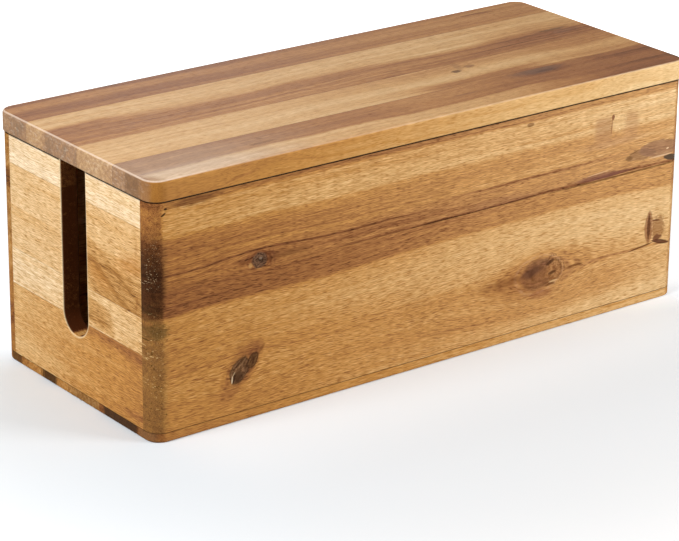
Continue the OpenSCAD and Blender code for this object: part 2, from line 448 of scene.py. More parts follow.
@dataclass(frozen=True)
class KnotWood:
    """What all knots share. Places and widths are shares of a knot's size.

    Attributes:
        near: Where the darker wood round a knot begins and where it is full.
        near_stretch: How much longer that wood is.
        near_power: Its shape, as a mark's.
        near_wave: Darkness of the grain lines round a knot.
        near_bend: How far streaks bend those lines.
        lobe_cells: How many lobes a knot has.
        lobe_noise: Finer layers of the lobes, and their strength.
        lobe_bend: How far the lobes bend its rings.
        grit_cells: How fine the unevenness is, along and across.
        grit_noise: Finer layers of the unevenness, and their strength.
        grit_edge: How far it makes the outline uneven.
        spoke_cells: How many spokes a knot has.
        spoke_noise: Finer layers of the spokes, and their strength.
        spoke_reach: How much the spokes change from the middle outwards.
        ring_tone: How much its rings show.
        grit_tone: How much its unevenness shows.
        spoke_tone: How much its spokes show.
        plain_tone: Its colour between heart, 0, and ring, 1.
        bark: Place and half width of its dark outline.
        bark_broken: Noise between which that outline comes in.
        core: Where a knot begins and where it covers the wood.
        rim: Place and half width of the thin line round it.
        rim_broken: Noise between which that line comes in.
        middle: Least distance from the middle, which keeps the spokes apart.
    """

    near: tuple[float, float] = (2.0, 0.8)
    near_stretch: float = 1.5
    near_power: float = 1.7
    near_wave: float = 0.06
    near_bend: float = 16.0
    lobe_cells: float = 1.3
    lobe_noise: tuple[float, float] = (2.0, 0.5)
    lobe_bend: float = 7.0
    grit_cells: tuple[float, float] = (0.7, 1.1)
    grit_noise: tuple[float, float] = (4.0, 0.7)
    grit_edge: float = 0.25
    spoke_cells: float = 5.0
    spoke_noise: tuple[float, float] = (2.0, 0.6)
    spoke_reach: float = 0.5
    ring_tone: float = 0.18
    grit_tone: float = 2.6
    spoke_tone: float = 1.2
    plain_tone: float = 0.48
    bark: tuple[float, float] = (0.9, 0.16)
    bark_broken: tuple[float, float] = (0.3, 0.55)
    core: tuple[float, float] = (1.1, 0.82)
    rim: tuple[float, float] = (1.22, 0.14)
    rim_broken: tuple[float, float] = (0.4, 0.6)
    middle: float = 0.01


OIL = Oil()
KNOT_WOOD = KnotWood()


@dataclass(frozen=True)
class Tone:
    """The colours of one kind of acacia, from palest to darkest.

    Attributes:
        stops: Pairs of darkness, from 0 to 1, and colour.
        end_share: How far end grain is drawn to its own colour.
        end: The colour that end grain is drawn to.
    """

    stops: tuple[tuple[float, str], ...]
    end_share: float = 0.25
    end: str = "8A6238"


@dataclass(frozen=True)
class Band:
    """A stretch of darker or paler wood along a board: heartwood, a streak or a fine grain line.

    Attributes:
        low: Lower edge across the grain.
        high: Upper edge across the grain.
        dark: Darkness that it adds at the left end of the board.
        dark_end: Darkness that it adds at the right end, or None for the same.
        soft: Widths over which the lower and the upper edge fade.
        wander: How far its edges wander.
        start: Where it begins along the grain, or None.
        end: Where it ends along the grain, or None.
        fade: Length over which it begins and ends.
        slope: How far it climbs for each unit along the grain.
        even: 1 for an even band, 0 for one that the grain breaks up.
    """

    low: float
    high: float
    dark: float
    dark_end: float | None = None
    soft: tuple[float, float] = (3.0, 3.0)
    wander: float = 1.5
    start: float | None = None
    end: float | None = None
    fade: float = 30.0
    slope: float = 0.0
    even: float = 0.6


@dataclass(frozen=True)
class Mark:
    """A patch of other colour, such as a pitch pocket, a dark fleck or a split.

    Attributes:
        along: Its place along the grain.
        across: Its place across the grain.
        length: Half its length.
        height: Half its height.
        colour: Its colour.
        share: How much it covers the wood.
        turn: Its tilt in degrees.
        soft: Share of its size over which it fades.
        ragged: How uneven its edge is.
        grain: Size of the unevenness.
        power: 2 for an ellipse, less for pointed ends and more for square ones.
        faces: Which faces it shows on.
        specks: Whether it is a cloud of specks, as large as its grain.
    """

    along: float
    across: float
    length: float
    height: float
    colour: str
    share: float = 0.6
    turn: float = 0.0
    soft: float = 0.5
    ragged: float = 0.5
    grain: float = 2.5
    power: float = 2.0
    faces: Faces = Faces.ALL
    specks: bool = False


@dataclass(frozen=True)
class Knot:
    """A knot that runs through a board, with the grain flowing round it.

    Attributes:
        along: Its place along the grain.
        across: Its place across the grain.
        size: Half its height.
        stretch: How much longer than high it is.
        turn: Its tilt in degrees.
        heart: The colour of its middle.
        ring: The colour of its rings.
        share: How much it covers the wood.
        flow: How far the grain bends round it, as a multiple of its size.
        reach: How much longer than high that bend is.
        rings: Distance between its rings.
        shadow: Darkness of the wood close round it.
        rim: The colour of the thin line round it.
        rim_share: How much that line shows.
        bark: How much its dark outline shows.
        lobes: How far it is from round.
    """

    along: float
    across: float
    size: float
    stretch: float = 1.3
    turn: float = 0.0
    heart: str = "4A2C18"
    ring: str = "8A5A34"
    share: float = 1.0
    flow: float = 1.6
    reach: float = 3.0
    rings: float = 1.6
    shadow: float = 0.25
    rim: str = "D9A66C"
    rim_share: float = 0.5
    bark: float = 0.5
    lobes: float = 0.3


@dataclass(frozen=True)
class Side:
    """How a stave looks on its upright face.

    Attributes:
        tone: The wood's colours there.
        dark: Darkness in the middle of its length.
        lean: Darkness gained for each unit along the grain.
    """

    tone: Tone
    dark: float
    lean: float = 0.0


@dataclass(frozen=True)
class GapShade:
    """Painted shade: a dark level line in the gap where one board stands on another.

    Attributes:
        height: Its height above the table.
        half: Half its width.
        share: How dark it is, from 0 to 1.
    """

    height: float
    half: float
    share: float


@dataclass(frozen=True)
class CableSlot:
    """The cable slot of an end board: open at the top, with a half circle at the bottom.

    Attributes:
        width: Its width.
        floor: Height of its lowest point.
        ease: Radius of its eased edges.
        arc_steps: Straight steps of its half circle.
    """

    width: float = 22.0
    floor: float = 35.0
    ease: float = 0.9
    arc_steps: int = 28

    @property
    def half(self) -> float:
        """Half its width, and the radius of its half circle."""
        return self.width / 2

    @property
    def arc_height(self) -> float:
        """Height of the middle of its half circle."""
        return self.floor + self.half


@dataclass(frozen=True)
class WoodFinish:
    """The finish of one stave.

    Attributes:
        name: The material's name.
        grain: How the grain lies.
        tone: The wood's colours.
        seed: Moves the pattern, so that no two staves share one.
        dark: Darkness of the plain wood.
        lean: Darkness gained for each unit along the grain.
        bands: Stretches of other colour.
        marks: Patches of other colour.
        knots: Knots.
        cloud: Strength of the broad soft streaks.
        streaks: Strength of the grain lines.
        fine: Strength of the fine grain lines.
        figure: Strength of the shimmer across the grain.
        pith: Where the tree's middle lies, across the grain and through the board.
        end_from: How far a surface turns to the end before it looks like end grain.
        end_dark: Darkness that end grain adds.
        end_mottle: How mottled end grain is.
        end_flecks: How much pale flecks show on end grain.
        glue_lines: Places across the grain where this stave meets its neighbours.
        butt_lines: Places along the grain where it meets another board.
        rim: Strength of the painted highlight on the rounded upper edges.
        right_sheen: Strength of a painted sheen that makes the wood paler and greyer towards the right end.
        right_sheen_colour: The colour of that painted sheen.
        grit: Strength of the finest fibres and pores.
        slant: How far the pores drop for each unit along the grain.
        sway: How far the grain waves to and fro.
        hairlines: Painted shade: dark level lines in the gaps where boards meet.
        side: The wood's look on faces that turn to the front and the back.
        worn: A cable slot whose rounded edges get a pale painted highlight.
    """

    name: str
    grain: Grain
    tone: Tone
    seed: float
    dark: float = 0.35
    lean: float = 0.0
    bands: tuple[Band, ...] = ()
    marks: tuple[Mark, ...] = ()
    knots: tuple[Knot, ...] = ()
    cloud: float = 0.32
    streaks: float = 0.55
    fine: float = 0.30
    figure: float = 0.2
    pith: tuple[float, float] = (0.0, 60.0)
    end_from: tuple[float, float] = (0.12, 0.42)
    end_dark: float = 0.2
    end_mottle: float = 0.9
    end_flecks: float = 0.0
    glue_lines: tuple[float, ...] = ()
    butt_lines: tuple[float, ...] = ()
    rim: float = 0.0
    right_sheen: float = 0.0
    right_sheen_colour: str = "D8BE9E"
    grit: float = 1.0
    slant: float = 0.0
    sway: float = 4.0
    hairlines: tuple[GapShade, ...] = ()
    side: Side | None = None
    worn: CableSlot | None = None

    def build(self) -> bpy.types.Material:
        """Makes the material.

        Returns:
            The finished material.
        """
        material = bpy.data.materials.new(self.name)
        material.use_nodes = True
        WoodPattern(self, Graph(material.node_tree)).paint()
        return material


def band_dark(g: Graph, at: SimpleNamespace) -> Socket:
    """Makes the darkness of one band.

    Args:
        g: The group's graph.
        at: The group's inputs, named as in WoodPattern._bands.

    Returns:
        The darkness that the band adds.
    """
    length, height = BAND_CELL
    cell = g.point(g.times(at.along, 1 / length), g.times(at.flow, 1 / height), at.seed)
    drift = g.times(g.swing(g.noise(cell, *BAND_NOISE)), at.wander)
    place = g.add(at.flow, drift, g.times(at.along, at.slope))
    inside = g.times(
        g.smooth(place, at.low_0, at.low_1), g.smooth(place, at.high_0, at.high_1),
        g.smooth(at.along, at.start_0, at.start_1), g.smooth(at.along, at.end_0, at.end_1),
    )
    share = g.add(at.dark, g.times(g.smooth(at.along, *BOARD_ENDS), at.gain))
    return g.times(inside, share, g.add(at.even, g.times(at.streak, at.broken)))


def spot_radius(g: Graph, a: Socket, b: Socket, power: Value = 2.0) -> Socket:
    """Makes the distance from the middle of a round, pointed or squarish spot.

    Args:
        g: The graph.
        a: Distance along it.
        b: Distance across it.
        power: 2 for round, less for pointed and more for squarish.

    Returns:
        The distance.
    """
    if power == 2.0:
        return g.length(a, b)
    sides = [g.math("POWER", g.math("ABSOLUTE", side), power) for side in (a, b)]
    return g.math("POWER", g.add(*sides), g.math("DIVIDE", 1.0, power))


def mark_cover(g: Graph, at: SimpleNamespace) -> Socket:
    """Makes the share that a mark covers: full inside, and 0 outside its uneven edge.

    Args:
        g: The group's graph.
        at: The group's inputs, named as in WoodPattern._add_mark.

    Returns:
        The share.
    """
    du, dv = g.minus(at.along, at.u), g.minus(at.across, at.v)
    a = g.add(g.times(du, at.cos), g.times(dv, at.sin))
    b = g.minus(g.times(dv, at.cos), g.times(du, at.sin))
    cell = g.point(g.times(a, at.per_grain, 0.5), g.times(b, at.per_grain), g.times(at.u, EDGE_STEP))
    uneven = g.noise(cell, *EDGE_NOISE)
    a, b = g.times(a, at.per_length), g.times(b, at.per_height)
    radius = g.add(spot_radius(g, a, b, at.power), g.times(g.swing(uneven), at.ragged))
    return g.times(g.smooth(radius, at.outer, at.inner), at.share)


def round_cover(g: Graph, at: SimpleNamespace) -> Socket:
    """Makes the share that a round mark covers."""
    return mark_cover(g, SimpleNamespace(**{**vars(at), "power": 2.0}))


def specks(g: Graph, at: SimpleNamespace) -> Socket:
    """Makes small scattered spots: 1 in them and 0 between them."""
    cell = g.point(g.times(at.along, at.per_grain), g.times(at.across, at.per_grain), 0.5)
    return g.smooth(g.noise(cell, *SPECK_NOISE), *SPECK_EDGE)


class WoodPattern:
    """The pattern of one stave, worked out from the place on the board."""

    def __init__(self, finish: WoodFinish, g: Graph) -> None:
        """Finds the place and the direction of the surface.

        Args:
            finish: The stave's finish.
            g: The material's graph.
        """
        self.finish = finish
        self.g = g
        place = g.node("ShaderNodeTexCoord")
        self.axes = [g.times(c, 1 / MM) for c in g.parts(place.outputs["Object"])]
        self.facing = [g.math("ABSOLUTE", c) for c in g.parts(place.outputs["Normal"])]
        self.along, self.across, self.through = (self.axes[i] for i in finish.grain.value)
        self.end = g.smooth(self.facing[finish.grain.value[0]], *finish.end_from)
        self.colour: Value = 0.0

    def paint(self) -> None:
        """Builds the whole pattern and shader."""
        g, f = self.g, self.finish
        flow = self._flow()
        ring = g.length(g.minus(flow, f.pith[0]), g.minus(self.through, f.pith[1]))
        slanted = g.add(flow, g.times(self.along, f.slant))
        cloud, streak, lines = (self._layer(layer, ring) for layer in (CLOUD, STREAK, LINES))
        fibre = self._layer(FIBRE, flow)
        pores = self._layer(PORES, slanted)
        shimmer, dots = (self._layer(layer, self.across) for layer in (SHIMMER, DOTS))
        pore = g.smooth(pores, *OIL.pore_edge)

        # How dark the wood is, from the palest sapwood to the darkest grain line
        heart = self._bands(flow, streak)
        lively = g.add(OIL.still, g.times(g.math("MAXIMUM", heart, 0.0), OIL.lively))
        pattern = g.add(
            g.times(g.swing(cloud), f.cloud),
            g.times(g.swing(streak), f.streaks, lively),
            g.times(g.smooth(lines, *OIL.line_edge), f.fine, lively),
            g.times(g.swing(fibre), OIL.fibre_dark * f.grit),
            g.times(pore, OIL.pore_dark * f.grit),
            g.times(self.end, g.add(f.end_dark, g.times(g.swing(dots), f.end_mottle))),
        )
        dark = g.add(f.dark, g.times(self.along, f.lean), heart, pattern)
        for knot in f.knots:
            dark = g.add(dark, self._round_knot(knot, streak))
        self.colour = g.ramp(dark, f.tone.stops)
        # Faces that turn to the front and the back take the side's colours; on the lid, the top's pinker,
        # paler colours are partly the wood and partly a painted sheen.
        if f.side:
            side_dark = g.add(f.side.dark, g.times(self.along, f.side.lean), pattern)
            sideways = g.smooth(self.facing[Y], *SIDE_FACE)
            self.colour = g.blend(sideways, self.colour, g.ramp(side_dark, f.side.tone.stops))
        self._cover(g.times(self.end, f.tone.end_share), f.tone.end)
        if f.end_flecks:
            flecks = g.smooth(self._layer(FLECKS, self.across), *OIL.fleck_edge)
            self._cover(g.times(flecks, self.end, f.end_flecks), END_FLECK)
        # Painted sheen: the wood is drawn paler and greyer towards the right end, less on darker wood
        if f.right_sheen:
            run = g.smooth(self.along, *BOARD_ENDS)
            self._cover(g.times(run, g.smooth(dark, *OIL.right_sheen_edge), f.right_sheen), f.right_sheen_colour)
        self._draw_details()
        self._shade(fibre, pore, shimmer)

    def _cover(self, share: Socket, code: str) -> None:
        """Covers the wood with a share of another colour, given in hex."""
        self.colour = self.g.blend(share, self.colour, srgb(code))

    def _layer(self, layer: Layer, across: Socket) -> Socket:
        """Reads one layer of noise.

        Args:
            layer: The layer.
            across: Place across the grain, or the distance that the layer follows instead.

        Returns:
            The noise, about 0 to 1.
        """
        g = self.g
        shift = SEED_STEP * self.finish.seed + LAYER_STEP * layer.number
        cell = g.point(*(
            g.add(g.times(axis, 1 / size), share * shift)
            for axis, size, share in zip((self.along, across, self.through), layer.cell, AXIS_SHARES)
        ))
        return g.noise(cell, layer.detail, layer.roughness, layer.distortion)

    def _flow(self) -> Socket:
        """Bends the grain: gentle waves, and a way round each knot.

        Returns:
            The place across the grain before the wood was bent.
        """
        g, f = self.g, self.finish
        length, height = WAVE_CELL
        cell = g.point(g.times(self.along, 1 / length), g.times(self.across, 1 / height), WAVE_STEP * f.seed)
        flow = g.add(self.across, g.times(g.swing(g.noise(cell, *WAVE_NOISE)), f.sway))
        for knot in f.knots:
            if knot.flow <= 0:
                continue
            du = g.times(g.minus(self.along, knot.along), 1 / knot.reach)
            dv = g.minus(self.across, knot.across)
            r2 = (knot.size * knot.flow) ** 2
            far = g.add(g.times(du, du), g.times(dv, dv), r2)
            flow = g.minus(flow, g.math("DIVIDE", g.times(dv, r2), far))
        return flow

    def _bands(self, flow: Socket, streak: Socket) -> Value:
        """Adds up the darkness of the bands.

        Args:
            flow: Place across the bent grain.
            streak: Grain streaks, which break the bands up.

        Returns:
            The darkness that the bands add, or plain 0 where there are none.
        """
        g = self.g
        total: Value = 0.0
        for number, band in enumerate(self.finish.bands):
            low, high = (s / 2 for s in band.soft)
            start = -ENDLESS if band.start is None else band.start
            end = ENDLESS if band.end is None else band.end
            dark_end = band.dark if band.dark_end is None else band.dark_end
            total = g.add(total, g.group(
                "band", band_dark, along=self.along, flow=flow, streak=streak,
                seed=BAND_STEP * self.finish.seed + number, wander=2 * band.wander, slope=-band.slope,
                low_0=band.low - low, low_1=band.low + low, high_0=band.high + high, high_1=band.high - high,
                start_0=start, start_1=start + band.fade, end_0=end, end_1=end - band.fade,
                dark=band.dark, gain=dark_end - band.dark, even=band.even, broken=2 * (1 - band.even),
            ))
        return total

    def _turned(self, knot: Knot) -> tuple[Socket, Socket]:
        """Finds the place as seen from the middle of a knot.

        Args:
            knot: The knot.

        Returns:
            Distances along its tilt and square to it.
        """
        g, turn = self.g, math.radians(knot.turn)
        du, dv = g.minus(self.along, knot.along), g.minus(self.across, knot.across)
        return (
            g.add(g.times(du, math.cos(turn)), g.times(dv, math.sin(turn))),
            g.minus(g.times(dv, math.cos(turn)), g.times(du, math.sin(turn))),
        )

    def _round_knot(self, knot: Knot, streak: Socket) -> Socket:
        """Darkens the wood close round a knot, with grain lines that curve round it.

        Args:
            knot: The knot.
            streak: Grain streaks, which bend those lines.

        Returns:
            The darkness that the knot adds round itself.
        """
        g = self.g
        a, b = self._turned(knot)
        a = g.times(a, 1 / (knot.stretch * KNOT_WOOD.near_stretch))
        radius = spot_radius(g, a, b, KNOT_WOOD.near_power)
        turns = g.add(g.times(radius, 2 * math.pi / knot.rings), g.times(streak, KNOT_WOOD.near_bend))
        wave = g.math("SINE", turns)
        near = g.smooth(radius, *(knot.size * share for share in KNOT_WOOD.near))
        return g.times(near, g.add(knot.shadow, g.times(wave, KNOT_WOOD.near_wave)))

    def _add_knot(self, knot: Knot) -> None:
        """Draws one knot over the wood.

        Args:
            knot: The knot.
        """
        g, k = self.g, KNOT_WOOD
        a, b = self._turned(knot)
        a = g.times(a, 1 / knot.stretch)
        plain = spot_radius(g, a, b)
        away = g.math("MAXIMUM", plain, k.middle)
        spokes = [g.math("DIVIDE", side, away) for side in (a, b)]
        lobe = g.noise(g.point(*(g.times(side, k.lobe_cells) for side in spokes), knot.along), *k.lobe_noise)
        grit_a, grit_b = k.grit_cells
        grit = g.noise(g.point(g.times(a, grit_a), g.times(b, grit_b), 2.0 + knot.along), *k.grit_noise)
        outwards = [g.times(side, k.spoke_cells) for side in spokes]
        spoke = g.noise(g.point(*outwards, g.times(plain, k.spoke_reach / knot.size)), *k.spoke_noise)
        radius = g.times(plain, g.add(
            1.0 - 0.5 * knot.lobes, g.times(lobe, knot.lobes), g.times(g.swing(grit), k.grit_edge),
        ))
        turns = g.add(g.times(radius, 2 * math.pi / knot.rings), g.times(lobe, k.lobe_bend))
        wave = g.math("SINE", turns)
        tone = g.add(
            g.times(wave, k.ring_tone), g.times(g.swing(grit), k.grit_tone),
            g.times(g.swing(spoke), k.spoke_tone), k.plain_tone,
        )
        inner = g.blend(g.smooth(tone, 0.0, 1.0), srgb(knot.heart), srgb(knot.ring))
        bark_at, bark_half = (knot.size * share for share in k.bark)
        bark = g.smooth(g.off(radius, bark_at), bark_half, 0.0)
        bark = g.times(bark, g.smooth(grit, *k.bark_broken), knot.bark)
        inner = g.blend(bark, inner, srgb(BARK))
        core = g.smooth(radius, *(knot.size * share for share in k.core))
        self.colour = g.blend(g.times(core, knot.share), self.colour, inner)
        rim_at, rim_half = (knot.size * share for share in k.rim)
        rim = g.smooth(g.off(radius, rim_at), rim_half, 0.0)
        self._cover(g.times(rim, g.smooth(grit, *k.rim_broken), knot.rim_share), knot.rim)

    def _add_mark(self, mark: Mark) -> None:
        """Draws one patch over the wood.

        Args:
            mark: The patch.
        """
        g, turn, upward = self.g, math.radians(mark.turn), self.facing[Z]
        place = {"along": self.along, "across": self.across}
        name, cover = "mark", mark_cover
        if mark.power == 2.0:
            name, cover = "round_mark", round_cover
        covered = g.group(
            name, cover, **place, u=mark.along, v=mark.across, cos=math.cos(turn), sin=math.sin(turn),
            per_length=1 / mark.length, per_height=1 / mark.height, per_grain=1 / mark.grain,
            ragged=2 * mark.ragged, outer=1.0 + mark.soft / 2, inner=1.0 - mark.soft / 2,
            share=mark.share, power=mark.power,
        )
        if mark.faces is Faces.LEVEL:
            covered = g.times(covered, g.smooth(upward, *LEVEL_FACE))
        if mark.faces is Faces.UPRIGHT:
            covered = g.times(covered, g.smooth(upward, *UPRIGHT_FACE))
        if mark.specks:
            covered = g.times(covered, g.group("specks", specks, **place, per_grain=1 / mark.grain))
        self._cover(covered, mark.colour)

    def _draw_details(self) -> None:
        """Draws knots, marks, joints, the painted gap shade and the painted highlights on rounded edges over
        the wood.
        """
        f = self.finish
        for knot in f.knots:
            self._add_knot(knot)
        for mark in f.marks:
            self._add_mark(mark)
        self._add_glue_lines(self.across, f.glue_lines)
        self._add_glue_lines(self.along, f.butt_lines)
        self._add_hairlines()
        if f.worn:
            self._paint_slot_highlight(f.worn)
        if f.rim:
            self._paint_rim_highlight()

    def _add_glue_lines(self, place: Socket, lines: tuple[float, ...]) -> None:
        """Darkens the thin lines where pieces of wood are glued together.

        Args:
            place: Place square to the lines.
            lines: Where the lines lie.
        """
        g = self.g
        for line in lines:
            self._cover(g.times(g.smooth(g.off(place, line), *GLUE_EDGE), GLUE_SHARE), GLUE)

    def _add_hairlines(self) -> None:
        """Paints shade into the level gaps where one board stands on another, on the upright faces only."""
        g = self.g
        for line in self.finish.hairlines:
            near = g.smooth(g.off(self.axes[Z], line.height), line.half, line.half * GAP_SHADE_CORE)
            self._cover(g.times(near, g.smooth(self.facing[Z], *GAP_SHADE_FACE), line.share), GAP_SHADE)

    def _paint_slot_highlight(self, slot: CableSlot) -> None:
        """Paints a pale highlight on the rounded edges of a cable slot.

        Args:
            slot: The cable slot.
        """
        g = self.g
        below = g.math("MINIMUM", g.minus(self.axes[Z], slot.arc_height), 0.0)
        away = g.minus(g.length(self.axes[Y], below), slot.half)
        near = g.times(g.smooth(away, *SLOT_OUTER), g.smooth(away, *SLOT_INNER))
        self._cover(g.times(near, SLOT_SHARE), SLOT_HIGHLIGHT)

    def _paint_rim_highlight(self) -> None:
        """Paints a pale highlight on the rounded upper edges, strongest at the left end."""
        g, upward = self.g, self.facing[Z]
        rounded = g.times(g.smooth(upward, *RIM_LOWER), g.smooth(upward, *RIM_UPPER))
        left = g.add(RIM_LEAST, g.times(g.smooth(self.axes[X], *RIM_LEFT), 1 - RIM_LEAST))
        upper = g.smooth(self.axes[Z], *RIM_HEIGHT)
        self._cover(g.times(rounded, left, upper, self.finish.rim), RIM_HIGHLIGHT)

    def _shade(self, fibre: Socket, pore: Socket, shimmer: Socket) -> None:
        """Adds the light and dark of fibres, pores and shimmer, and makes the shader.

        Args:
            fibre: Noise of the fibres.
            pore: 1 in pores and 0 between them.
            shimmer: Noise of the shimmer across the grain.
        """
        g, f = self.g, self.finish
        light = g.add(
            1.0,
            g.times(g.swing(fibre), OIL.fibre_light * f.grit),
            g.times(g.swing(shimmer), f.figure),
            g.times(pore, OIL.pore_light * f.grit),
        )
        tint = g.point(light, *(g.math("POWER", light, power) for power in OIL.warmth))
        colour = g.blend(1.0, self.colour, tint, "MULTIPLY")
        rough = g.add(
            OIL.rough, g.times(fibre, OIL.fibre_rough), g.times(self.end, OIL.end_rough),
            g.times(pore, OIL.pore_rough),
        )
        height = g.minus(g.times(fibre, OIL.fibre_relief), g.times(pore, OIL.pore_relief))
        bump = g.node("ShaderNodeBump", {
            "Strength": OIL.relief, "Distance": OIL.relief_depth, "Height": height,
        })
        shader = g.node("ShaderNodeBsdfPrincipled", {
            "Base Color": colour, "Roughness": rough, "Specular IOR Level": OIL.gloss,
            "Normal": bump.outputs["Normal"],
        })
        g.node("ShaderNodeOutputMaterial", {"Surface": shader.outputs["BSDF"]})


GOLDEN = Tone((
    (0.0, "EFCF9C"), (0.2, "DDB074"), (0.4, "C68D48"), (0.6, "A76F3C"), (0.8, "824F2E"), (1.0, "44240F"),
), end="7A4C1E")
STRAW = Tone((
    (0.0, "F8E3C4"), (0.2, "ECCA9A"), (0.4, "D8A96C"), (0.6, "B27F42"), (0.8, "8A5A2E"), (1.0, "44240F"),
), end="7A4C1E")
# End grain of the end boards, seen in the cable slots: darker and redder, partly the oiled end grain and
# partly painted shade in the slot.
GOLDEN_END = replace(GOLDEN, end_share=0.5, end="4A1E06")
STRAW_END = replace(STRAW, end_share=0.5, end="4A1E06")
BEECH = Tone(((0.0, "EAD2AC"), (0.5, "D2B083"), (1.0, "9A7448")))
# The lid's colours. Its top's pinker, paler look is partly the wood and partly a painted sheen; the front
# stave's front face takes golden instead.
REDDISH = Tone((
    (0.0, "E8C493"), (0.2, "D0A068"), (0.4, "B07A48"), (0.6, "8C5834"), (0.8, "684024"), (1.0, "3A2214"),
), end_share=0.5, end="AE957A")


@dataclass(frozen=True)
class SteelFinish:
    """Bright zinc on small steel parts.

    Attributes:
        name: The material's name.
        bright: The colour of the clean metal.
        dull: The colour where the zinc has gone cloudy.
        speck: Size of the cloudy spots, in millimetres.
        speck_noise: Finer layers of the spots, and their strength.
        speck_edge: Noise between which the spots come in.
        scratches: Scratches for each millimetre along X, Y and Z.
        scratch_noise: Finer layers of the scratches, and their strength.
        rough: Roughness of the clean metal.
        cloudy_rough: Roughness that cloudy zinc adds.
        scratch_rough: Roughness that scratches add.
        relief: Strength of the relief.
        relief_depth: Depth of the relief, in metres.
    """

    name: str
    bright: str = "C9CACB"
    dull: str = "8F8D86"
    speck: float = 0.9
    speck_noise: tuple[float, float] = (4.0, 0.65)
    speck_edge: tuple[float, float] = (0.42, 0.72)
    scratches: tuple[float, float, float] = (0.8, 9.0, 9.0)
    scratch_noise: tuple[float, float] = (2.0, 0.6)
    rough: float = 0.24
    cloudy_rough: float = 0.22
    scratch_rough: float = 0.12
    relief: float = 0.25
    relief_depth: float = 0.00005

    def build(self) -> bpy.types.Material:
        """Makes the material.

        Returns:
            The finished material.
        """
        material = bpy.data.materials.new(self.name)
        material.use_nodes = True
        g = Graph(material.node_tree)
        place = g.node("ShaderNodeTexCoord")
        axes = [g.times(c, 1 / MM) for c in g.parts(place.outputs["Object"])]
        spots = g.noise(g.point(*(g.times(c, 1 / self.speck) for c in axes)), *self.speck_noise)
        lines = (g.times(c, fine) for c, fine in zip(axes, self.scratches))
        scratch = g.noise(g.point(*lines), *self.scratch_noise)
        cloudy = g.smooth(spots, *self.speck_edge)
        rough = g.add(self.rough, g.times(cloudy, self.cloudy_rough), g.times(scratch, self.scratch_rough))
        bump = g.node("ShaderNodeBump", {
            "Strength": self.relief, "Distance": self.relief_depth, "Height": g.add(scratch, spots),
        })
        shader = g.node("ShaderNodeBsdfPrincipled", {
            "Base Color": g.blend(cloudy, srgb(self.bright), srgb(self.dull)), "Metallic": 1.0,
            "Roughness": rough, "Normal": bump.outputs["Normal"],
        })
        g.node("ShaderNodeOutputMaterial", {"Surface": shader.outputs["BSDF"]})
        return material


# ---------------- mesh tools

SHARP_ANGLE = 35  # degrees, past which an edge stays sharp


def box_mesh(low: Place, high: Place) -> bmesh.types.BMesh:
    """Makes a block between two corners.

    Args:
        low: Lowest corner, in millimetres.
        high: Highest corner, in millimetres.

    Returns:
        The mesh, in metres.
    """
    size = [(b - a) * MM for a, b in zip(low, high)]
    middle = [(a + b) / 2 * MM for a, b in zip(low, high)]
    bm = bmesh.new()
    bmesh.ops.create_cube(bm, size=1.0, matrix=Matrix.Translation(middle) @ Matrix.Diagonal((*size, 1.0)))
    return bm


def ease(bm: bmesh.types.BMesh, edges: list[bmesh.types.BMEdge], radius: float, segments: int) -> None:
    """Rounds edges over.

    Args:
        bm: The mesh.
        edges: The edges to round.
        radius: Radius, in millimetres.
        segments: Faces across the rounding.
    """
    bmesh.ops.bevel(
        bm, geom=edges, offset=radius * MM, offset_type="OFFSET", affect="EDGES",
        segments=segments, profile=0.5, material=-1, clamp_overlap=True,
    )


def level_edges(bm: bmesh.types.BMesh, height: float) -> list[bmesh.types.BMEdge]:
    """Finds the edges that lie at one height, in millimetres."""
    return [e for e in bm.edges if all(abs(v.co.z - height * MM) < SAME for v in e.verts)]


def upright_edges(bm: bmesh.types.BMesh) -> list[bmesh.types.BMEdge]:
    """Finds the edges that stand upright."""
    return [e for e in bm.edges if (e.verts[0].co - e.verts[1].co).xy.length < MERGE]


def keep_between(bm: bmesh.types.BMesh, axis: int, low: float, high: float) -> None:
    """Cuts the mesh to what lies between two planes and closes the cuts.

    Args:
        bm: The mesh.
        axis: X, Y or Z for planes square to it.
        low: Place of the lower plane, in millimetres.
        high: Place of the upper plane, in millimetres.
    """
    for place, sign in ((low, -1), (high, 1)):
        normal = Vector((0, 0, 0))
        normal[axis] = sign
        point = Vector((0, 0, 0))
        point[axis] = place * MM
        cut = bmesh.ops.bisect_plane(
            bm, geom=[*bm.verts, *bm.edges, *bm.faces], dist=MERGE,
            plane_co=point, plane_no=normal, clear_outer=True,
        )
        cut_edges = [e for e in cut["geom_cut"] if isinstance(e, bmesh.types.BMEdge)]
        rim = [e for e in cut_edges if e.is_valid and e.is_boundary]
        if rim:
            bmesh.ops.holes_fill(bm, edges=rim, sides=0)


def carve(block: bmesh.types.BMesh, cutter: bmesh.types.BMesh) -> bmesh.types.BMesh:
    """Cuts one mesh out of another.

    Args:
        block: The mesh that is cut. It is freed.
        cutter: What is taken away. It is freed.

    Returns:
        The new mesh.
    """
    pair = []
    for name, source in (("block", block), ("cutter", cutter)):
        mesh = bpy.data.meshes.new(name)
        source.to_mesh(mesh)
        source.free()
        made = bpy.data.objects.new(name, mesh)
        bpy.context.scene.collection.objects.link(made)
        pair.append(made)
    cut = pair[0].modifiers.new("cut", "BOOLEAN")
    cut.operation, cut.solver, cut.object = "DIFFERENCE", "EXACT", pair[1]
    result = bmesh.new()
    result.from_object(pair[0], bpy.context.evaluated_depsgraph_get())
    for made in pair:
        mesh = made.data
        bpy.data.objects.remove(made)
        bpy.data.meshes.remove(mesh)
    return result


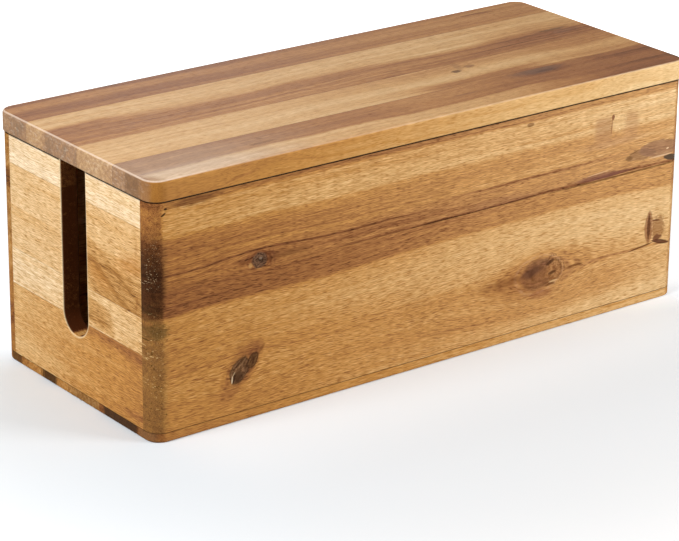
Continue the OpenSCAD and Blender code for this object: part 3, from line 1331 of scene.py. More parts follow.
def piece(name: str, bm: bmesh.types.BMesh, material: bpy.types.Material) -> bpy.types.Object:
    """Turns a finished bmesh into an object with smooth roundings and flat faces.

    Args:
        name: The piece's name.
        bm: The mesh, in metres. It is freed.
        material: The piece's material.

    Returns:
        The new object, at the origin.
    """
    bmesh.ops.recalc_face_normals(bm, faces=bm.faces)
    mesh = bpy.data.meshes.new(name)
    bm.to_mesh(mesh)
    bm.free()
    mesh.materials.append(material)
    mesh.shade_smooth()
    mesh.set_sharp_from_angle(angle=math.radians(SHARP_ANGLE))
    made = bpy.data.objects.new(name, mesh)
    bpy.context.scene.collection.objects.link(made)
    weighted = made.modifiers.new("even_normals", "WEIGHTED_NORMAL")
    weighted.keep_sharp = True
    return made


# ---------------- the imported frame


class Body(Enum):
    """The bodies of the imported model."""

    BOX = "box"
    LID = "lid"


class Stock(Enum):
    """The record's material slots for acacia."""

    GOLDEN = "acacia_golden"
    STRAW = "acacia_straw"
    BROWN = "acacia_brown"
    RED_BROWN = "acacia_red_brown"


def face(node: str, axis: int, upper: bool = True) -> float:
    """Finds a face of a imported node's box.

    Args:
        node: The node's name.
        axis: X, Y or Z.
        upper: Whether it is the upper face on that axis, or the lower one.

    Returns:
        Its place, in millimetres, to a hundredth.
    """
    return round(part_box(node)[int(upper)][axis] / MM, 2)


def glue_lines(board: str, axis: int, *parts: str) -> tuple[float, ...]:
    """Finds where the staves of a board meet: the upper faces of all but the last one."""
    return tuple(face(f"{board}_stave_{part}", axis) for part in parts)


def refinish(nodes: dict[str, bpy.types.Object], start: str, material: bpy.types.Material) -> None:
    """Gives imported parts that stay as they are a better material.

    Args:
        nodes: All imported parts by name.
        start: What the names of these parts begin with.
        material: Their new material.
    """
    for name, node in nodes.items():
        if name.startswith(start):
            for slot in node.material_slots:
                slot.material = material
            log.info("%s: kept as packed, in %s", name, material.name)


def dress(made: bpy.types.Object, body: Body, slot: Stock, *nodes: str) -> None:
    """Gives a piece its body and hides the nodes that it stands for.

    Args:
        made: The piece.
        body: The body that it rides on.
        slot: The record's material slot. It is not used.
        *nodes: The nodes that it replaces.
    """
    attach(made, body.value)
    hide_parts(*nodes)
    log.info("%s: %d faces on %s", made.name, len(made.data.polygons), body.value)


# ---------------- the box


@dataclass
class BoxSizes:
    """Sizes that the sub-assemblies share, in millimetres.

    Attributes:
        length: Length over the walls.
        width: Width over the walls.
        wall: Thickness of the walls.
        base: Thickness of the base.
        wall_top: Height of the walls' upper rim.
        corner: Radius of the upright corners.
        wall_ease: Radius of the walls' upper rim.
        seam_ease: Radius of the rims where walls and base meet.
        corner_segments: Faces across a corner.
        ease_segments: Faces across a small rounding.
        rim_segments: Faces across the upper rim of a flat board.
    """

    length: float
    width: float
    wall: float
    base: float
    wall_top: float
    corner: float = 8.0
    wall_ease: float = 0.8
    seam_ease: float = 0.2
    corner_segments: int = 14
    ease_segments: int = 4
    rim_segments: int = 5

    @classmethod
    def from_frame(cls) -> BoxSizes:
        """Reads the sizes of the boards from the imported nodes.

        Returns:
            The sizes.
        """
        lower = "front_stave_lower"
        return cls(
            length=face(lower, X) - face(lower, X, upper=False),
            width=face("back_stave_lower", Y) - face(lower, Y, upper=False),
            wall=face(lower, Y) - face(lower, Y, upper=False),
            base=face(lower, Z, upper=False),
            wall_top=face("front_stave_upper", Z),
        )

    @property
    def inner_x(self) -> float:
        """Half the inside length."""
        return self.length / 2 - self.wall

    @property
    def inner_y(self) -> float:
        """Half the inside width."""
        return self.width / 2 - self.wall

    @property
    def end_middle(self) -> float:
        """Distance from the box's middle to the middle of an end board's thickness."""
        return self.length / 2 - self.wall / 2

    @property
    def long_middle(self) -> float:
        """Distance from the box's middle to the middle of a long board's thickness."""
        return self.width / 2 - self.wall / 2


@dataclass
class Countersink:
    """The holes that screw heads lie in, open at the bottom.

    Attributes:
        head: Radius of the opening.
        bore: Radius of the hole for the shank.
        sink: How far the straight part goes up.
        cone: Height of the cone above it.
        depth: Depth of the whole hole.
        below: How far the cutter reaches below the opening.
        steps: Faces round the hole.
    """

    head: float = 3.1
    bore: float = 1.6
    sink: float = 0.2
    cone: float = 1.5
    depth: float = 3.0
    below: float = 1.0
    steps: int = 32

    def cutter(self, places: list[Place]) -> bmesh.types.BMesh:
        """Makes the shape of the holes.

        Args:
            places: The middles of the openings.

        Returns:
            One mesh with a plug for each hole.
        """
        bm = bmesh.new()
        outline = (
            (0.0, -self.below), (self.head, -self.below), (self.head, self.sink),
            (self.bore, self.sink + self.cone), (self.bore, self.depth), (0.0, self.depth),
        )
        for x, y, z in places:
            verts = [bm.verts.new(((x + r) * MM, y * MM, (z + h) * MM)) for r, h in outline]
            edges = [bm.edges.new(pair) for pair in zip(verts, verts[1:])]
            bmesh.ops.spin(
                bm, geom=[*verts, *edges], cent=(x * MM, y * MM, z * MM), axis=(0, 0, 1), angle=2 * math.pi,
                steps=self.steps, use_merge=True,
            )
        bmesh.ops.remove_doubles(bm, verts=bm.verts, dist=MERGE)
        bmesh.ops.recalc_face_normals(bm, faces=bm.faces)
        return bm


@dataclass
class Board:
    """A board glued up from staves.

    Attributes:
        sizes: The box's sizes.
        name: Start of its pieces' names.
        seams: Places of its glue lines, in rising order.
        finishes: The finishes of its staves.
        slots: The record's slots of its staves.
    """

    sizes: BoxSizes
    name: str
    seams: tuple[float, ...]
    finishes: tuple[WoodFinish, ...]
    slots: tuple[Stock, ...]


@dataclass
class LongBoard(Board):
    """The front or the back board, glued up from two staves.

    Attributes:
        side: -1 for the front and 1 for the back.
    """

    side: int

    def build(self) -> None:
        """Builds and dresses both staves."""
        s = self.sizes
        levels = (s.base, *self.seams, s.wall_top)
        for i, part in enumerate(("lower", "upper")):
            bm = self._board()
            keep_between(bm, Z, levels[i], levels[i + 1])
            made = piece(f"{self.name}_{part}", bm, self.finishes[i].build())
            dress(made, Body.BOX, self.slots[i], f"{self.name}_stave_{part}")

    def _board(self) -> bmesh.types.BMesh:
        """Makes the whole board, before it is divided.

        Returns:
            The mesh, in metres.
        """
        s = self.sizes
        near, far = sorted((self.side * s.inner_y, self.side * s.width / 2))
        bm = box_mesh((-s.length / 2, near, s.base), (s.length / 2, far, s.wall_top))
        outer = self.side * s.width / 2 * MM
        corners = [e for e in upright_edges(bm) if abs(e.verts[0].co.y - outer) < SAME]
        ease(bm, corners, s.corner, s.corner_segments)
        inner = self.side * s.inner_y * MM
        for height, radius in ((s.wall_top, s.wall_ease), (s.base, s.seam_ease)):
            rim = [e for e in level_edges(bm, height) if any(abs(v.co.y - inner) > SAME for v in e.verts)]
            ease(bm, rim, radius, s.ease_segments)
        return bm


@dataclass
class EndBoard(Board):
    """An end board with its cable slot, glued up from four levels of staves.

    Attributes:
        side: -1 for the left end and 1 for the right end.
        cable_slot: The slot that the cables leave by.
    """

    side: int
    cable_slot: CableSlot

    def build(self) -> None:
        """Builds and dresses the staves, with those beside the slot in two parts."""
        s = self.sizes
        levels = (s.base, *self.seams, s.wall_top)
        for i, part in enumerate(("bottom", "second", "third", "top")):
            material = self.finishes[i].build()
            spans = {"": (-s.inner_y, s.inner_y)}
            if part != "bottom":
                spans = {"_front": (-s.inner_y, 0), "_back": (0, s.inner_y)}
            for suffix, (low, high) in spans.items():
                bm = self._board()
                keep_between(bm, Z, levels[i], levels[i + 1])
                keep_between(bm, Y, low, high)
                made = piece(f"{self.name}_{part}{suffix}", bm, material)
                dress(made, Body.BOX, self.slots[i], f"{self.name}_stave_{part}{suffix}")

    def _board(self) -> bmesh.types.BMesh:
        """Makes the whole board with its slot, before it is divided.

        Returns:
            The mesh, in metres.
        """
        s = self.sizes
        half, arc_z = self.cable_slot.half, self.cable_slot.arc_height
        x = self.side * s.inner_x * MM
        bm = bmesh.new()
        outline = [bm.verts.new((x, y * MM, z * MM)) for y, z in (
            (half, s.wall_top), (s.inner_y, s.wall_top), (s.inner_y, s.base),
            (-s.inner_y, s.base), (-s.inner_y, s.wall_top), (-half, s.wall_top), (-half, arc_z),
        )]
        rim = [bm.edges.new(pair) for pair in zip(outline, outline[1:])]
        spun = bmesh.ops.spin(
            bm, geom=[outline[-1]], cent=(x, 0, arc_z * MM), axis=(1, 0, 0), angle=math.pi,
            steps=self.cable_slot.arc_steps,
        )
        last = next(v for v in spun["geom_last"] if isinstance(v, bmesh.types.BMVert))
        rim.append(bm.edges.new((last, outline[0])))
        flat = bmesh.ops.contextual_create(bm, geom=bm.edges[:])["faces"]
        out = bmesh.ops.extrude_face_region(bm, geom=flat)
        moved = [v for v in out["geom"] if isinstance(v, bmesh.types.BMVert)]
        bmesh.ops.translate(bm, verts=moved, vec=(self.side * s.wall * MM, 0, 0))
        bmesh.ops.recalc_face_normals(bm, faces=bm.faces)
        outer = self.side * s.length / 2 * MM
        on_slot = [e for e in bm.edges if self._is_on_slot(e)]
        ease(bm, on_slot, self.cable_slot.ease, s.ease_segments)
        for height, radius in ((s.wall_top, s.wall_ease), (s.base, s.seam_ease)):
            edges = [e for e in level_edges(bm, height) if all(abs(v.co.x - outer) < SAME for v in e.verts)]
            ease(bm, edges, radius, s.ease_segments)
        return bm

    def _is_on_slot(self, edge: bmesh.types.BMEdge) -> bool:
        """Whether an edge follows the slot's outline on one face of the board.

        Args:
            edge: An edge of the whole board.

        Returns:
            True for the edges that are eased.
        """
        half, arc_z = self.cable_slot.half * MM, self.cable_slot.arc_height * MM
        away = [math.hypot(v.co.y, min(v.co.z - arc_z, 0.0)) for v in edge.verts]
        on_face = abs(edge.verts[0].co.x - edge.verts[1].co.x) < MERGE
        return on_face and all(abs(distance - half) < SAME for distance in away)


@dataclass
class Slab(Board):
    """A flat board with rounded corners, whose staves run along the box.

    Attributes:
        body: The body that it rides on.
        bottom: Height of its underside.
        top: Height of its top.
        overhang: How far it stands out past the walls.
        ease_top: Radius of its upper rim.
        ease_under: Radius of its lower rim.
        screws: Places of the screws in its underside.
        past: How far the outer cuts lie past the rim, so that they take nothing away.
    """

    body: Body
    bottom: float
    top: float
    overhang: float
    ease_top: float
    ease_under: float
    screws: tuple[tuple[float, float], ...] = ()
    past: float = 1.0

    def build(self) -> None:
        """Builds and dresses the staves."""
        edge = self.sizes.width / 2 + self.overhang + self.past
        places = (-edge, *self.seams, edge)
        for i, part in enumerate(("front", "second", "third", "back")):
            bm = self._board()
            keep_between(bm, Y, places[i], places[i + 1])
            holes = [(x, y, self.bottom) for x, y in self.screws if places[i] < y < places[i + 1]]
            if holes:
                bm = carve(bm, Countersink().cutter(holes))
            made = piece(f"{self.name}_{part}", bm, self.finishes[i].build())
            dress(made, self.body, self.slots[i], f"{self.name}_stave_{part}")

    def _board(self) -> bmesh.types.BMesh:
        """Makes the whole slab, before it is divided.

        Returns:
            The mesh, in metres.
        """
        s = self.sizes
        x, y = s.length / 2 + self.overhang, s.width / 2 + self.overhang
        bm = box_mesh((-x, -y, self.bottom), (x, y, self.top))
        ease(bm, upright_edges(bm), s.corner, s.corner_segments)
        ease(bm, level_edges(bm, self.top), self.ease_top, s.rim_segments)
        ease(bm, level_edges(bm, self.bottom), self.ease_under, s.ease_segments)
        return bm


@dataclass
class Cleats:
    """The two battens under the lid that keep it in place.

    Attributes:
        sizes: The box's sizes.
        finish: Their finish.
        gap: Play between a cleat and the walls.
        width: Width of a cleat.
        depth: How far it reaches down into the box.
        rounding: Radius of its lower long edges.
        screw_reach: Distance of the outer screws from its middle.
        long_edge: Length past which an edge is one of its long ones, in metres.
    """

    sizes: BoxSizes
    finish: WoodFinish
    gap: float = 1.0
    width: float = 10.0
    depth: float = 8.0
    rounding: float = 1.0
    screw_reach: float = 121.5
    long_edge: float = 0.1

    def build(self) -> None:
        """Builds and dresses both cleats."""
        s = self.sizes
        reach, outer = s.inner_x - self.gap, s.inner_y - self.gap
        bottom = s.wall_top - self.depth
        material = self.finish.build()
        for side, part in ((-1, "front"), (1, "back")):
            near, far = sorted((side * outer, side * (outer - self.width)))
            bm = box_mesh((-reach, near, bottom), (reach, far, s.wall_top))
            lower = [e for e in level_edges(bm, bottom) if e.calc_length() > self.long_edge]
            ease(bm, lower, self.rounding, s.ease_segments)
            holes = [(x, (near + far) / 2, bottom) for x in (-self.screw_reach, 0.0, self.screw_reach)]
            bm = carve(bm, Countersink().cutter(holes))
            made = piece(f"lid_batten_{part}", bm, material)
            dress(made, Body.LID, Stock.STRAW, f"lid_cleat_{part}")


# ---------------- studio


@dataclass(frozen=True)
class Lamp:
    """A square soft lamp.

    Attributes:
        name: Its name.
        place: Where it stands, in metres.
        target: The point that it faces, in metres.
        size: Width and height, in metres.
        power: Watts.
    """

    name: str
    place: Place
    target: Place
    size: tuple[float, float]
    power: float

    def build(self) -> None:
        """Adds the lamp."""
        data = bpy.data.lights.new(self.name, "AREA")
        data.shape = "RECTANGLE"
        data.size, data.size_y = self.size
        data.energy = self.power
        made = bpy.data.objects.new(self.name, data)
        made.location = self.place
        away = Vector(self.place) - Vector(self.target)
        made.rotation_mode = "QUATERNION"
        made.rotation_quaternion = away.to_track_quat("Z", "Y")
        bpy.context.scene.collection.objects.link(made)


LAMPS = (
    Lamp("key", place=(0.55, -0.80, 0.38), target=(0.1, 0, 0.06), size=(0.4, 0.4), power=6.5),
    Lamp("high_left", place=(-0.85, -0.15, 0.66), target=(-0.08, 0, 0.1), size=(0.5, 0.5), power=8.0),
    Lamp("sheen", place=(0.56, 1.05, 0.50), target=(-0.15, -0.05, 0.12), size=(0.3, 0.25), power=1.8),
)


@dataclass
class Studio:
    """Pale floor, soft light and the camera. Its lengths are metres.

    Attributes:
        azimuth: The camera's angle round the box, in degrees, with 0 in front of it.
        elevation: The camera's angle above the floor, in degrees.
        roll: The camera's turn about its own axis, in degrees.
        distance: How far the camera is from its target.
        target: The point that it aims at.
        focal: Focal length, in pixels of the picture.
        picture: Width of the picture, in pixels.
        sensor: Width of the camera's sensor, in millimetres.
        clip: Nearest and farthest distance that the camera sees.
        soft_light: Strength of the light from all round.
        floor_half: Half the floor's length.
        floor_grey: The floor's grey as soft light meets it.
        paper: The floor's grey as it is seen.
        tint: A cool colour painted on the floor close to the box, which cancels the warm light that the wood
            bounces there.
        tint_reach: How far that colour reaches.
        lift: Light added to the floor far away.
        lift_from: Distances between which it comes in.
        lift_behind: Light added behind the box.
        behind: Distances past the box's diagonal between which it comes in.
        lift_before: Light added in front of the box.
        before_x: Places along X between which it comes in.
        before_y: Places along Y between which it comes in.
    """

    azimuth: float = -37.34
    elevation: float = 21.30
    roll: float = 0.64
    distance: float = 1.542
    target: Place = (-0.0071, 0.0, 0.0322)
    focal: float = 2889.4
    picture: float = 679.0
    sensor: float = 36.0
    clip: tuple[float, float] = (0.05, 50.0)
    soft_light: float = 0.28
    floor_half: float = 6.0
    floor_grey: Colour = (0.5, 0.5, 0.5)
    paper: Colour = (0.92, 0.92, 0.92)
    tint: str = "EAF0F5"
    tint_reach: float = 0.26
    lift: float = 0.6
    lift_from: tuple[float, float] = (0.22, 0.6)
    lift_behind: float = 0.42
    behind: tuple[float, float] = (-0.03, 0.03)
    lift_before: float = 0.08
    before_x: tuple[float, float] = (-0.19, -0.13)
    before_y: tuple[float, float] = (-0.16, -0.08)

    def build(self) -> None:
        """Builds the whole studio."""
        bpy.context.scene.view_settings.view_transform = "Standard"
        self._camera()
        self._world()
        self._floor()
        for lamp in LAMPS:
            lamp.build()

    def _camera(self) -> None:
        """Adds the camera."""
        data = bpy.data.cameras.new("camera")
        data.sensor_width = self.sensor
        data.lens = self.focal / self.picture * self.sensor
        data.clip_start, data.clip_end = self.clip
        made = bpy.data.objects.new("camera", data)
        a, e = math.radians(self.azimuth), math.radians(self.elevation)
        back = Vector((math.sin(a) * math.cos(e), -math.cos(a) * math.cos(e), math.sin(e)))
        made.location = Vector(self.target) + back * self.distance
        made.rotation_mode = "QUATERNION"
        aim = (-back).to_track_quat("-Z", "Y")
        made.rotation_quaternion = aim @ Quaternion((0, 0, 1), math.radians(self.roll))
        bpy.context.scene.collection.objects.link(made)
        bpy.context.scene.camera = made

    def _pick(self, g: Graph, soft: Socket, seen: Socket) -> Socket:
        """Chooses between two shaders.

        Args:
            g: The graph.
            soft: The shader for soft light.
            seen: The shader for what is seen directly, in gloss or through glass.

        Returns:
            The chosen shader.
        """
        rays = g.node("ShaderNodeLightPath").outputs
        kinds = ("Is Camera Ray", "Is Glossy Ray", "Is Transmission Ray")
        share = g.math("MINIMUM", g.add(*(rays[kind] for kind in kinds)), 1.0)
        return g.node("ShaderNodeMixShader", {0: share, 1: soft, 2: seen}).outputs[0]

    def _world(self) -> None:
        """Makes a white surround that lights the object softly."""
        world = bpy.data.worlds.new("studio")
        world.use_nodes = True
        bpy.context.scene.world = world
        g = Graph(world.node_tree)
        white = (1.0, 1.0, 1.0)
        soft = g.node("ShaderNodeBackground", {"Color": white, "Strength": self.soft_light})
        seen = g.node("ShaderNodeBackground", {"Color": white, "Strength": 1.0})
        g.node("ShaderNodeOutputWorld", {"Surface": self._pick(g, soft.outputs[0], seen.outputs[0])})

    def _floor(self) -> None:
        """Makes the floor, white where it is lit or where light is painted on, and pale grey in the object's
        shadow.
        """
        bm = bmesh.new()
        bmesh.ops.create_grid(bm, x_segments=1, y_segments=1, size=self.floor_half)
        mesh = bpy.data.meshes.new("floor")
        bm.to_mesh(mesh)
        bm.free()
        material = bpy.data.materials.new("floor_paper")
        material.use_nodes = True
        self._paint_floor(Graph(material.node_tree))
        mesh.materials.append(material)
        floor = bpy.data.objects.new("floor", mesh)
        bpy.context.scene.collection.objects.link(floor)
        floor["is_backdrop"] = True

    def _paint_floor(self, g: Graph) -> None:
        """Makes the floor's shader.

        Args:
            g: The material's graph.
        """
        place = g.node("ShaderNodeTexCoord")
        x, y, _ = g.parts(place.outputs["Object"])
        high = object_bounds()[1]
        beside = [g.math("MAXIMUM", g.minus(g.math("ABSOLUTE", c), h), 0.0) for c, h in zip((x, y), high)]
        # Painted cool tint close to the box, against the warm light bounced from the wood
        cool = g.smooth(g.length(*beside), self.tint_reach, 0.0)
        paper = g.node("ShaderNodeBsdfDiffuse", {"Color": g.blend(cool, self.paper, srgb(self.tint))})
        behind = g.smooth(g.add(y, g.times(x, high[1] / high[0])), *self.behind)
        before = g.times(g.smooth(y, *self.before_y), g.smooth(x, *self.before_x))
        # Painted light: emission that whitens the floor far away, behind the box and in front of it
        lift = g.node("ShaderNodeEmission", {"Strength": g.add(
            g.times(g.smooth(g.length(x, y), *self.lift_from), self.lift),
            g.times(behind, self.lift_behind),
            g.times(before, self.lift_before),
        )})
        bright = g.node("ShaderNodeAddShader", {0: paper.outputs[0], 1: lift.outputs[0]})
        soft = g.node("ShaderNodeBsdfDiffuse", {"Color": self.floor_grey})
        g.node("ShaderNodeOutputMaterial", {"Surface": self._pick(g, soft.outputs[0], bright.outputs[0])})


# ---------------- finishes of the staves

# Painted shade: dark lines in the gaps under the lid and above the base
LID_GAP_SHADE = GapShade(125.1, 0.95, 0.97)
LEFT_LID_GAP_SHADE = GapShade(125.1, 1.15, 0.98)
LID_UNDERSIDE_SHADE = GapShade(125.0, 0.5, 0.85)
FRONT_BASE_SEAM_SHADE = GapShade(5.05, 0.42, 0.72)
BACK_BASE_SEAM_SHADE = GapShade(5.05, 0.42, 0.62)
END_BASE_SEAM_SHADE = GapShade(5.05, 0.42, 0.5)
BASE_TOP_SHADE = GapShade(5.0, 0.25, 0.5)

# The tree's middle, off the middle of a stave: across the grain and through the board
PITH_OFF = (26.0, 18.0)

# Both front staves are painted paler and greyer towards the right end, a painted sheen.
FRONT_UPPER = WoodFinish(
    "front_upper_wood", Grain.UPRIGHT_X, GOLDEN, seed=1.0, dark=0.25, lean=-0.0006, pith=(10.0, -88.0),
    end_dark=0.24, right_sheen=0.16, grit=1.7, slant=0.06, streaks=0.46, fine=0.24,
    bands=(
        # Heartwood above the glue line and along the top, then single grain lines
        Band(64, 104.5, 0.20, 0.16, soft=(3, 5), wander=1, even=0.8),
        Band(66, 93, 0.07, 0.14, soft=(6, 10)),
        Band(76, 88, 0.04, 0.04, soft=(5, 5), start=-90, end=60, fade=60),
        Band(120.8, 130, 0.22, 0.24, soft=(2.5, 3), wander=0.8),
        Band(86.7, 87.5, 0.26, soft=(0.7, 0.9), wander=0.5, end=20, fade=60, even=0.9),
        Band(89.6, 90.7, 0.14, 0.22, soft=(0.9, 1.4), wander=0.6, start=-20, end=142, fade=70),
        Band(78.3, 79.3, 0.28, soft=(0.8, 1), wander=0.5, start=-130, end=30, fade=60, slope=0.012,
             even=0.9),
        Band(79.2, 80.4, 0.26, 0.27, soft=(0.8, 1.6), wander=0.4, start=-30, fade=50),
    ),
    knots=(
        Knot(-109.6, 83.2, 4.3, heart="3A281C", ring="8A664C", flow=1.1, reach=3.2, rings=1.5, stretch=1.12,
             rim="7A4424", rim_share=0.8, shadow=0.16, bark=0.3, lobes=0.4, share=0.92),
    ),
    marks=(
        # Round the small knot
        Mark(-109, 84, 0.9, 0.6, "B09A84", soft=0.7),
        Mark(-103.4, 83.4, 0.8, 4.2, "6A3C20", soft=0.8, ragged=0.3, turn=8),
        Mark(-101, 83.2, 0.6, 4.6, "74452A", share=0.45, soft=0.8, ragged=0.3, turn=8),
        Mark(-92, 83.2, 10, 1.6, "744826", soft=1.3, ragged=0.4),
        Mark(-118.5, 83.6, 4, 0.6, "7A4826", share=0.7, soft=0.8, ragged=0.3),
        Mark(-115.2, 81.4, 1.2, 1.3, "C99A5C", soft=0.8, ragged=0.4),
        # End grain at both corners
        Mark(-170.8, 85, 6, 22, "2A160A", share=0.5, power=3.2, soft=0.8, ragged=0.3, grain=4),
        Mark(-171.2, 78, 5.2, 19, "261206", power=3, soft=0.7, ragged=0.35, grain=3),
        Mark(172.5, 101, 3.4, 26, "4A3420", power=4, soft=0.7, ragged=0.1),
        Mark(-170.4, 89, 2.6, 17, "D8BC92", share=0.75, power=3, soft=0.6, grain=0.6, specks=True),
        Mark(-168.5, 100, 4, 8, "6A4420", power=3, soft=0.8, grain=1.3, specks=True),
        # Grey-brown patch, split and dark streak at the right end
        Mark(143, 87.4, 11, 3.2, "8E6848", share=0.68, soft=0.2, ragged=0.4, grain=2.2, power=1.7),
        Mark(156, 88.5, 15, 4.9, "8E6852", share=0.66, soft=0.18, ragged=0.3, turn=-3, grain=3, power=1.8),
        Mark(134.4, 86.6, 2.2, 1.2, "6E4826", soft=0.7, ragged=0.8, grain=0.9),
        Mark(137.5, 89.4, 3.4, 0.35, "6E4826", share=0.55, turn=14, ragged=0.3),
        # Painted highlight along the top of the small void at the right end
        Mark(157, 83.9, 8, 0.45, "DDB890", share=0.7, soft=0.6, ragged=0.4),
        Mark(162.2, 87.3, 0.9, 0.4, "F0D0A6", turn=10, share=0.8),
        Mark(45, 81.3, 24, 1.7, "845440", share=0.35, soft=1.3, ragged=0.4),
        # A small void, painted dark grey for the shade inside it
        Mark(165, 81.7, 5.6, 1.7, "46392F", share=0.93, ragged=0.25, soft=0.25, turn=-8, power=1.6),
        Mark(115, 80.8, 19, 1.7, "7C4E42", share=0.7, soft=0.6, ragged=0.4, turn=-1, power=1.5),
        Mark(113, 82.8, 8, 0.32, "DDB48C", turn=3, ragged=0.3),
        # Speckled patch with an upright split, under the lid at the right
        Mark(114.4, 106.6, 6, 6.6, "AC7E58", share=0.55, soft=0.7, ragged=0.35, power=4, grain=4),
        Mark(134.4, 106.4, 5.4, 6.6, "B88A62", share=0.42, soft=0.8, ragged=0.4, power=3, grain=4),
        Mark(122, 98.2, 20, 2.2, "AC7E5C", share=0.42, soft=1),
        Mark(126, 108.6, 4.8, 5, "EFCB96", share=0.35, ragged=0.8, grain=1.1),
        Mark(126, 109.2, 5.2, 5.6, "FBE2B4", share=0.85, grain=1.5, specks=True),
        Mark(126, 109.2, 5.2, 5.6, "A8763E", grain=1.2, specks=True),
        Mark(121.2, 112.6, 1, 1.5, "7E4C30", share=0.9, soft=0.4, ragged=0.4, grain=1.2),
        Mark(120.4, 107.5, 0.45, 4.6, "8A5834", turn=-4, ragged=0.3),
        # Flecks close under the lid
        Mark(63, 119.5, 2.4, 1.1, "7A4E2A", share=0.7),
        Mark(-148, 122.6, 15, 2.3, "5E3420", soft=0.9, power=1.7),
        Mark(-164.6, 121.3, 0.9, 0.6, "2A160C", share=0.9, ragged=0.3),
        Mark(-165.8, 118.6, 1.4, 0.5, "30180C", share=0.9, turn=35, ragged=0.3),
    ),
    # Painted shade in the gap under the lid
    hairlines=(LID_GAP_SHADE,),
)
